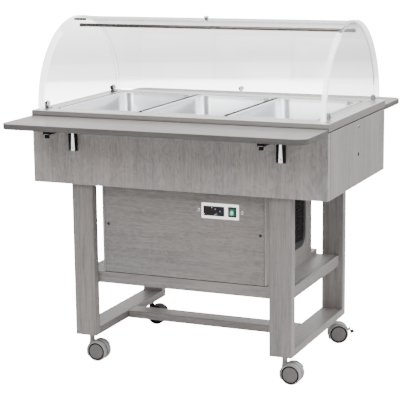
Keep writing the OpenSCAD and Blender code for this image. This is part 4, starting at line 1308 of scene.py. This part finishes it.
    def knobs(self, outer, sheet, front_low, rear_low):
        rise = math.radians(3.8)
        profile = [(0, 0.0133), (0.005, 0.0131), (0.0078, 0.0122), (0.0092, 0.0105),
                   (0.0095, 0.0088), (0.0090, 0.0070), (0.0066, 0.0056), (0.0055, 0.0040),
                   (0.0058, 0.0012), (0.0074, 0.0004), (0.0074, 0.00025), (0, 0.00025)]
        washer = [(0, -sheet - 0.00025), (0.0066, -sheet - 0.00025), (0.0070, -sheet - 0.0007),
                  (0.0070, -sheet - 0.0018), (0.0065, -sheet - 0.00225), (0, -sheet - 0.00225)]
        for name, body, node, angle, base, way in (
            ("front_pull", "front_cover", "front_knob", front_low - rise, outer + sheet, 1),
            ("rear_pull", "rear_cover", "rear_knob", rear_low + rise, outer - APART, -1),
        ):
            mesh = bmesh.new()
            marked(turned(mesh, profile), 1, lambda spot: spot.z < 0.0052)
            turned(mesh, washer, steps=32, material=1)
            outward = Vector((0, math.cos(angle), math.sin(angle)))
            aside = Vector((1, 0, 0))
            third = (outward * way).cross(aside)
            spot = outward * base + Vector((0, 0, self.axis_z))
            turn = Matrix((aside, third, outward * way)).transposed().to_4x4()
            bmesh.ops.transform(mesh, matrix=Matrix.Translation(spot) @ turn, verts=mesh.verts)
            add_piece(mesh, name, body, [plated_steel(), dark_plate()], [node],
                      50)

    def feet(self, high, rim_top):
        """Angle feet and knurled thumb screws"""
        foot_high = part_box("dome_feet")[1]
        half, flange, sheet, edge = 0.01, 0.022, 0.0025, 0.0006
        y_mid = foot_high.y - half
        inner = high.x - 0.004
        screw_z = middle("thumb_screws").z
        mesh = bmesh.new()
        for sx, sy in QUARTERS:
            front, rear = sy * y_mid - half, sy * y_mid + half
            block(mesh, (sx * inner, front, rim_top),
                  (sx * (inner - flange), rear, rim_top + sheet), edge)
            block(mesh, (sx * inner, front, rim_top + 0.0003),
                  (sx * (inner - sheet), rear, foot_high.z), edge)
        steel = brushed_steel("Foot steel", "Z", (0.20, 0.195, 0.19), 0.25)
        add_piece(mesh, "angle_feet", "cabinet", [steel], ["dome_feet"])
        mesh = bmesh.new()
        for sx, sy in QUARTERS:
            place = about_x(sx * (inner - sheet), sy * y_mid, screw_z, -sx)
            faces = turned(mesh, [(0, 0.011), (0.0085, 0.011), (0.0108, 0.0095),
                                  (0.0112, 0.0080), (0.0112, 0.0025), (0.0100, 0.0006),
                                  (0.006, 0.0), (0, 0.0)], place, 30)
            sides = [f for f in faces if abs(f.normal.x) < 0.3 and f.calc_area() > 1.1e-5]
            ridged(mesh, sides, 0.0003, 0.0007)
            for face in faces:
                if face.is_valid and abs(face.normal.x) < 0.8:
                    face.material_index = 1
            place = about_x(sx * high.x, sy * y_mid, screw_z, sx)
            turned(mesh, [(0, 0.0039), (0.003, 0.0036), (0.0052, 0.0022), (0.006, 0.0),
                          (0, 0.0)], place, 32)
        add_piece(mesh, "knurled_thumb_screws", "cabinet", [plated_steel(), dark_plate()],
                  ["thumb_screws"], 40)

    def rod(self):
        low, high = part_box("tie_rod")
        mid, radius, half = (low + high) / 2, (high.z - low.z) / 2, high.x
        mesh = bmesh.new()
        turned(mesh, [(0, -half), (radius - 0.001, -half), (radius, -half + 0.001),
                      (radius, -half + 0.012), (radius - 0.0007, -half + 0.013),
                      (radius - 0.0007, half - 0.013), (radius, half - 0.012),
                      (radius, half - 0.001), (radius - 0.001, half), (0, half)],
               about_x(0, mid.y, mid.z), 40)
        bright = brushed_steel("Rod steel", "X", (0.15, 0.133, 0.122), 0.14, 900.0)
        add_piece(mesh, "polished_tie_rod", "cabinet", [bright], ["tie_rod"], 50)


# ---- Shelves ----


class SALAD_OT_shelves(bpy.types.Operator):
    """Both folding shelves with their arms, brackets and release levers"""

    bl_idname = "salad.shelves"
    bl_label = "Folding shelves"

    def execute(self, context):
        edge = context.scene.salad_sizes.board_edge * 1.3
        top = stained_wood("Shelf wood", "X", 0.76, 0.2, (0, 0.1, 0.1), 0.26)
        rim = stained_wood("Shelf edge wood", "X", 0.36, 0.1, (0, 0.3, 0.1), 0.05)
        for node, body, way in (("front_shelf", "front_ledge", -1),
                                ("rear_shelf", "rear_ledge", 1)):
            low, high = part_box(node)
            mesh = bmesh.new()
            grid = bmesh.ops.create_grid(mesh, x_segments=1, y_segments=1, size=1.0)["verts"]
            bmesh.ops.scale(mesh, vec=((high.x - low.x) / 2, (high.y - low.y) / 2, 1), verts=grid)
            bmesh.ops.translate(mesh, vec=((low.x + high.x) / 2, (low.y + high.y) / 2, low.z),
                                verts=grid)
            outer = [v for v in grid if way * v.co.y > way * (low.y + high.y) / 2]
            front = sorted({round(v.co.x, 4) for v in frame["nodes"][node].data.vertices
                            if abs(v.co.y - (low.y if way < 0 else high.y)) < 1e-5})
            corner = high.x - front[-1]
            rounded(mesh, outer, corner, 14)
            raised(mesh, mesh.faces[:], high.z - low.z)
            flat = [e for e in mesh.edges if abs(e.verts[0].co.z - e.verts[1].co.z) < 1e-6]
            soften(mesh, flat, edge, 3)
            marked(mesh.faces, 1, lambda spot: spot.z <= high.z - edge)
            add_piece(mesh, node + "_board", body, [top, rim], [node])
        self.channels()
        paint(moulded("Arm paint", (0.005, 0.005, 0.006), 0.4), "front_arms", "rear_arms")
        self.levers("front_release", "front_catch")
        self.levers("rear_release", "rear_catch")
        return {"FINISHED"}

    def channels(self):
        """Channels on the wall that hold the arms, their webs and right cheeks in painted shade,
        each with a catch strip that has a painted glow
        """
        low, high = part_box("wall_channels")
        wall_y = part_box("long_panels")[1].y
        middle_x = (levels("front_arms", 0, right=True)[0] + levels("front_arms", 0)[1]) / 2
        half, sheet = 0.0165, 0.0025
        pin_out, pin_height, hole_height = 0.0123, 0.889, 0.808
        strip_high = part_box("catch_strips")[1]
        top = strip_high.z + 0.001
        foot = low.z + 0.007
        mesh = bmesh.new()
        for x in (-middle_x, middle_x):
            for sy in (-1, 1):
                block(mesh, (x - half, sy * wall_y, foot),
                      (x + half, sy * (wall_y + sheet), top), 0.0004, 2, 2)
                for side, tone in ((-1, 0), (1, 2)):
                    block(mesh, (x + side * half, sy * wall_y, foot),
                          (x + side * (half - sheet), sy * (high.y - sheet), top),
                          0.0006, 2, tone)
                place = about_x(x, sy * (wall_y + pin_out), pin_height)
                turned(mesh, [(0, -0.0195), (0.0028, -0.0193), (0.003, -0.0185), (0.003, 0.0185),
                              (0.0028, 0.0193), (0, 0.0195)], place, 24, 0)
        pale = brushed_steel("Channel steel", "Z", (0.30, 0.30, 0.32), 0.3)
        bright = brushed_steel("Channel pin", "Z", (0.6, 0.6, 0.6), 0.25)
        dark = moulded("Channel shade", (0.005, 0.005, 0.005), 0.5)
        add_piece(mesh, "arm_channels", "cabinet", [pale, bright, dark], ["wall_channels"])
        mesh = bmesh.new()
        left, right, taper, lean = 0.0075, 0.0055, 0.3, 0.001
        hole, proud = 0.0024, 0.0002
        for sx, sy in QUARTERS:
            x = sx * middle_x
            near, far = sorted((sy * (wall_y + sheet), sy * (strip_high.y + sheet)))
            faces = block(mesh, (x - left, near, foot + 0.0005),
                          (x + right, far, strip_high.z), 0.0)
            for vert in corners(faces):
                if vert.co.z > foot + 0.01:
                    vert.co.x = x - lean + (vert.co.x - x) * taper
            turned(mesh, [(0, near - proud), (hole, near - proud), (hole, far + proud),
                          (0, far + proud)],
                   about_y(x, 0, hole_height) @ Matrix.Rotation(math.pi, 4, "X"), 20, 1)
        # The catch strips are white with glow=1.2: a painted highlight, though they are no lamp.
        white = moulded("Catch strip painted glow", (0.90, 0.90, 0.90), 0.25, glow=1.2)
        add_piece(mesh, "catch_wedges", "cabinet", [white, dark], ["catch_strips"])

    def levers(self, node, body):
        """Hanging levers: a head, a bright strip under it and a sunk grip"""
        low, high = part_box(node)
        y = (low.y + high.y) / 2
        from_end, head, grip, neck = 0.012, 0.0095, 0.0075, 0.004
        top = high.z
        mesh = bmesh.new()
        for x in (low.x + from_end, high.x - from_end):
            block(mesh, (x - head, y - 0.006, top - 0.009), (x + head, y + 0.006, top), 0.0012, 2)
            faces = block(mesh, (x - grip, y - 0.005, low.z + 0.0002),
                          (x + grip, y + 0.005, top - 0.011), 0.002, 3)
            block(mesh, (x - neck, y - neck, top - 0.012), (x + neck, y + neck, top - 0.008), 0.0)
            wide = [f for f in faces if abs(f.normal.y) > 0.95 and f.calc_area() > 1e-4]
            ridged(mesh, wide, 0.003, -0.0008)
            block(mesh, (x - head, y - 0.0058, top - 0.0108), (x + head, y + 0.0058, top - 0.0088),
                  0.0003, 1, 1)
        black = moulded("Lever plastic", (0.004, 0.004, 0.005), 0.5)
        add_piece(mesh, node + "_levers", body, [black, plated_steel()], [node],
                  40)


# ---- Casters ----


class SALAD_OT_casters(bpy.types.Operator):
    """Four twin-wheel casters, the rear two with brake pedals"""

    bl_idname = "salad.casters"
    bl_label = "Casters"

    def execute(self, context):
        colours = context.scene.salad_colours
        tyre = tyre_rubber("Tyre rubber", colours.tyre)
        shaded_tyre = tyre_rubber("Tyre rubber painted shade", (0.008, 0.008, 0.009))
        cover = moulded("Wheel cover", tuple(colours.wheel_cover), 0.5, 500.0, 0.08)
        shaded_cover = moulded("Wheel cover painted shade", (0.006, 0.006, 0.007), 0.5, 500.0, 0.08)
        ring = moulded("Wheel ring", (0.002, 0.002, 0.002), 0.6)
        grey = moulded("Hood plastic", tuple(colours.hood), 0.42, 700.0, 0.08)
        black = moulded("Hood plastic painted shade", (0.006, 0.006, 0.007), 0.5, 700.0, 0.08)
        self.bearings = {joint["child"]: Vector(joint["pos_m"]) for joint in frame["joints"]
                         if "pos_m" in joint}
        self.axes = {joint["child"]: Vector(joint["axis"]) for joint in frame["joints"]}
        for corner in ("front_left", "front_right", "rear_left", "rear_right"):
            # The rear-left caster stands in shade: it gets near-black copies of the tyre, cover and
            # hood materials, which is painted shade.
            dark = corner == "rear_left"
            self.wheels(corner, [shaded_tyre, shaded_cover, ring] if dark else [tyre, cover, ring])
            self.fork(corner, [black if dark else grey, ring])
        paint(moulded("Pedal plastic", (0.010, 0.010, 0.011), 0.45), "left_pedal", "right_pedal")
        paint(moulded("Socket plastic", (0.008, 0.008, 0.009), 0.5), "caster_sockets")
        return {"FINISHED"}

    def stand(self, corner):
        """The place of a caster's wheel centre, turned as its axle is."""
        hub, axle = self.bearings[corner + "_axle"], self.axes[corner + "_axle"]
        return Matrix.Translation(hub) @ Matrix.Rotation(math.atan2(-axle.x, axle.y), 4, "Z")

    def wheels(self, corner, materials):
        r = self.bearings[corner + "_axle"].z
        gap, outer = 0.0065, 0.027
        tread = [(r - 0.0050, outer - 0.0016), (r - 0.0046, outer - 0.0003),
                 (r - 0.0035, outer - 0.0002), (r - 0.0014, outer - 0.0014),
                 (r - 0.0003, outer - 0.0042), (r, outer - 0.008), (r, gap + 0.006),
                 (r - 0.0004, gap + 0.003), (r - 0.0018, gap + 0.0008), (r - 0.0040, gap),
                 (r - 0.009, gap)]
        ring = [(r - 0.0100, outer - 0.0012), (r - 0.0096, outer - 0.0030),
                (r - 0.0054, outer - 0.0030), (r - 0.0050, outer - 0.0016)]
        cover = [(0, outer - 0.0004), (0.006, outer - 0.0004), (0.0064, outer - 0.0009),
                 (0.0075, outer - 0.0009), (0.0080, outer - 0.0005), (0.019, outer - 0.0003),
                 (r - 0.0112, outer - 0.0005), (r - 0.0103, outer - 0.0009),
                 (r - 0.0100, outer - 0.0012)]
        back = [(r - 0.009, gap), (0.008, gap), (0.0075, gap - 0.0008), (0.004, gap - 0.0008),
                (0.004, 0.0)]
        mesh = bmesh.new()
        for side in (-1, 1):
            place = self.stand(corner) @ Matrix.Rotation(-side * math.pi / 2, 4, "X")
            turned(mesh, tread, place, 72, 0)
            turned(mesh, ring, place, 72, 2)
            turned(mesh, cover, place, 72, 1)
            turned(mesh, back, place, 72, 1)
        bmesh.ops.remove_doubles(mesh, verts=mesh.verts, dist=1e-6)
        add_piece(mesh, corner + "_wheel_pair", corner + "_axle", materials,
                  [corner + "_wheels"], 40)

    def fork(self, corner, materials):
        """A swept hood over the wheels, a web between them and the stem's neck"""
        node = corner + "_swivel"
        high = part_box(node)[1]
        stand = self.stand(corner)
        stem = self.bearings[corner + "_fork"]
        r_in, r_out, half = 0.0383, 0.0410, 0.0258
        groove = 0.0012
        section = [(r_in, -half + 0.0015), (r_in, half - 0.0015), (r_in + 0.0004, half),
                   (r_out - 0.0016, half - 0.0004), (r_out - 0.0004, half - 0.0022),
                   (r_out, half - 0.006), (r_out, 0.0135), (r_out - groove, 0.0132),
                   (r_out - groove, 0.0108), (r_out, 0.0105), (r_out, -0.0105),
                   (r_out - groove, -0.0108), (r_out - groove, -0.0132), (r_out, -0.0135),
                   (r_out, -half + 0.006), (r_out - 0.0004, -half + 0.0022),
                   (r_out - 0.0016, -half + 0.0004), (r_in + 0.0004, -half)]
        mesh = bmesh.new()
        place = stand @ Matrix.Rotation(math.pi / 2, 4, "X")
        hood = bent_strip(mesh, section, math.radians(32), math.pi, Matrix(), 48)
        marked(hood, 1, lambda spot: 0.0105 < abs(spot.z) < 0.0136
               and spot.xy.length > r_in + 0.001)
        bmesh.ops.transform(mesh, matrix=place, verts=mesh.verts)
        ridge = [(r_out - 0.001, -0.0035), (r_out + 0.0009, -0.0025), (r_out + 0.0012, 0),
                 (r_out + 0.0009, 0.0025), (r_out - 0.001, 0.0035)]
        bent_strip(mesh, ridge, math.radians(34), math.radians(110), place, 40)
        web = [(0.0045, -0.0058), (0.0045, 0.0058), (r_in + 0.001, 0.0058),
               (r_in + 0.001, -0.0058)]
        bent_strip(mesh, web, math.radians(14), math.radians(212), place, 40)
        neck_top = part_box("caster_sockets")[0].z - 0.0003
        floor = neck_top - 0.0405
        turned(mesh, [(0, neck_top), (0.0086, neck_top), (0.0095, neck_top - 0.0009),
                      (0.0095, floor + 0.016), (0.0101, floor + 0.010), (0.0112, floor + 0.004),
                      (0.0125, floor)], Matrix.Translation((stem.x, stem.y, 0)), 40)
        turned(mesh, [(0, high.z), (0.0045, high.z), (0.0054, high.z - 0.0012),
                      (0.0054, neck_top - 0.001)], Matrix.Translation((stem.x, stem.y, 0)), 32)
        add_piece(mesh, corner + "_hood", corner + "_fork", materials, [node],
                  40)


# ---- Stage ----


class SALAD_OT_stage(bpy.types.Operator):
    """The pale floor, the studio light and the camera"""

    bl_idname = "salad.stage"
    bl_label = "Stage"

    def execute(self, context):
        mesh = bmesh.new()
        verts = bmesh.ops.create_circle(mesh, segments=64, radius=1.6, cap_ends=True)["verts"]
        bmesh.ops.translate(mesh, vec=(0, 0, -0.0002), verts=verts)
        data = bpy.data.meshes.new("studio_floor")
        mesh.to_mesh(data)
        mesh.free()
        data.materials.append(finish("Pale floor", pale_floor))
        floor = bpy.data.objects.new("studio_floor", data)
        context.scene.collection.objects.link(floor)
        self.sky(context)
        self.lamps(context)
        self.camera(context)
        return {"FINISHED"}

    def sky(self, context):
        """White round the object, pale grey as seen through the dome, soft light elsewhere"""
        f = Finish(bpy.data.worlds.new("Studio white"), "ShaderNodeOutputWorld")
        context.scene.world = f.owner
        way = f.node("ShaderNodeTexCoord", {}, {}, "Generated")
        rise = f.node("ShaderNodeSeparateXYZ", {}, {0: way}, "Z")
        around = [(0.0, 0.6), (0.48, 0.75), (0.56, 0.45), (0.8, 0.8), (1.0, 1.2)]
        band = f.node("ShaderNodeValToRGB", {"stops": around}, {0: rise.ramp(-1.0, 1.0)})
        wall = rise.part("Y").ramp(0.0, 0.6) * rise.ramp(-0.02, 0.1) * rise.ramp(0.75, 0.45)
        soft = f.node("ShaderNodeBackground", {}, {"Color": band, "Strength": wall * 4.2 + 0.7})
        tones = [(0.11, 9.0), (0.27, 7.0), (0.30, 6.4), (0.33, 3.8), (0.42, 3.5), (0.47, 3.3),
                 (0.478, 2.9), (0.56, 2.85), (0.72, 3.45), (0.82, 4.1), (1.0, 5.6)]
        behind = f.node("ShaderNodeValToRGB", {"stops": tones}, {0: rise.ramp(-0.1352, -0.0587)})
        grey = f.node("ShaderNodeBackground", {}, {"Color": behind, "Strength": 1.0})
        white = f.node("ShaderNodeBackground", {}, {"Color": colour(1.0), "Strength": 17.0})
        layers = f.node("ShaderNodeLightPath", {}, {}, "Transparent Depth")
        seen = f.node("ShaderNodeMixShader", {}, {0: layers > 0.5, 1: white, 2: grey})
        direct = layers.part("Is Camera Ray")
        f.output(f.node("ShaderNodeMixShader", {}, {0: direct, 1: soft, 2: seen}))

    def lamps(self, context):
        for name, spot, aim, size, power in (
            ("Key softbox", (-0.9, -3.8, 3.6), (0, 0, 0.6), 2.4, 130),
            ("Right softbox", (3.6, -0.6, 2.4), (0.2, 0, 0.6), 2.2, 90),
            ("Top softbox", (0.2, 0.2, 3.8), (0, 0, 0.9), 2.4, 60),
            ("Low fill", (0.6, -4.4, 0.7), (0, 0, 0.4), 1.8, 14),
        ):
            data = bpy.data.lights.new(name, "AREA")
            data.shape = "SQUARE"
            data.size = size
            data.energy = power
            lamp = bpy.data.objects.new(name, data)
            lamp.location = spot
            way = Vector(aim) - Vector(spot)
            lamp.rotation_euler = way.to_track_quat("-Z", "Y").to_euler()
            context.scene.collection.objects.link(lamp)

    def camera(self, context):
        turn, tilt, roll = 0.40789, 0.19624, -0.01173
        ahead = Vector((-math.sin(turn) * math.cos(tilt), math.cos(turn) * math.cos(tilt),
                        -math.sin(tilt)))
        right = Vector((math.cos(turn), math.sin(turn), 0))
        up = right.cross(ahead)
        across = right * math.cos(roll) + up * math.sin(roll)
        upward = up * math.cos(roll) - right * math.sin(roll)
        data = bpy.data.cameras.new("Photo camera")
        data.sensor_width = 36
        data.lens = 127.252
        data.clip_end = 60
        camera = bpy.data.objects.new("Photo camera", data)
        place = Matrix((across, upward, -ahead)).transposed().to_4x4()
        place.translation = (1.99965, -4.74228, 1.60372)
        camera.matrix_world = place
        context.scene.collection.objects.link(camera)
        context.scene.camera = camera


def pale_floor(f):
    """White to the eye, and a soft bounce to everything that stands on it."""
    dust = f.grain(0.8, 2.0, 0.5)
    seen = f.node("ShaderNodeLightPath", {}, {}, "Is Camera Ray")
    return f.surface(base_color=f.blend(dust, (0.80, 0.80, 0.80), (0.83, 0.83, 0.83)),
                     roughness=0.8, specular_ior_level=0.1, emission_color=(1, 1, 1),
                     emission_strength=seen * 17.0)


class SALAD_PT_panel(bpy.types.Panel):
    """Lists the salad bar's pieces"""

    bl_label = "Salad Bar"
    bl_idname = "SALAD_PT_panel"
    bl_space_type = "VIEW_3D"
    bl_region_type = "UI"
    bl_category = "Salad Bar"

    def draw(self, context):
        for group in (context.scene.salad_sizes, context.scene.salad_colours):
            for name in group.__annotations__:
                self.layout.prop(group, name)
        for operator in OPERATORS:
            self.layout.operator(operator.bl_idname)


OPERATORS = (
    SALAD_OT_boards,
    SALAD_OT_frame,
    SALAD_OT_rim,
    SALAD_OT_pans,
    SALAD_OT_vents,
    SALAD_OT_cooling,
    SALAD_OT_controls,
    SALAD_OT_dome,
    SALAD_OT_shelves,
    SALAD_OT_casters,
    SALAD_OT_stage,
)
CLASSES = (SaladSizes, SaladColours) + OPERATORS + (SALAD_PT_panel,)


def register():
    for kind in CLASSES:
        bpy.utils.register_class(kind)
    bpy.types.Scene.salad_sizes = bpy.props.PointerProperty(type=SaladSizes)
    bpy.types.Scene.salad_colours = bpy.props.PointerProperty(type=SaladColours)


def unregister():
    del bpy.types.Scene.salad_colours
    del bpy.types.Scene.salad_sizes
    for kind in reversed(CLASSES):
        bpy.utils.unregister_class(kind)


def main():
    register()
    for operator in OPERATORS:
        group, name = operator.bl_idname.split(".")
        getattr(getattr(bpy.ops, group), name)()


if __name__ == "__main__":
    main()
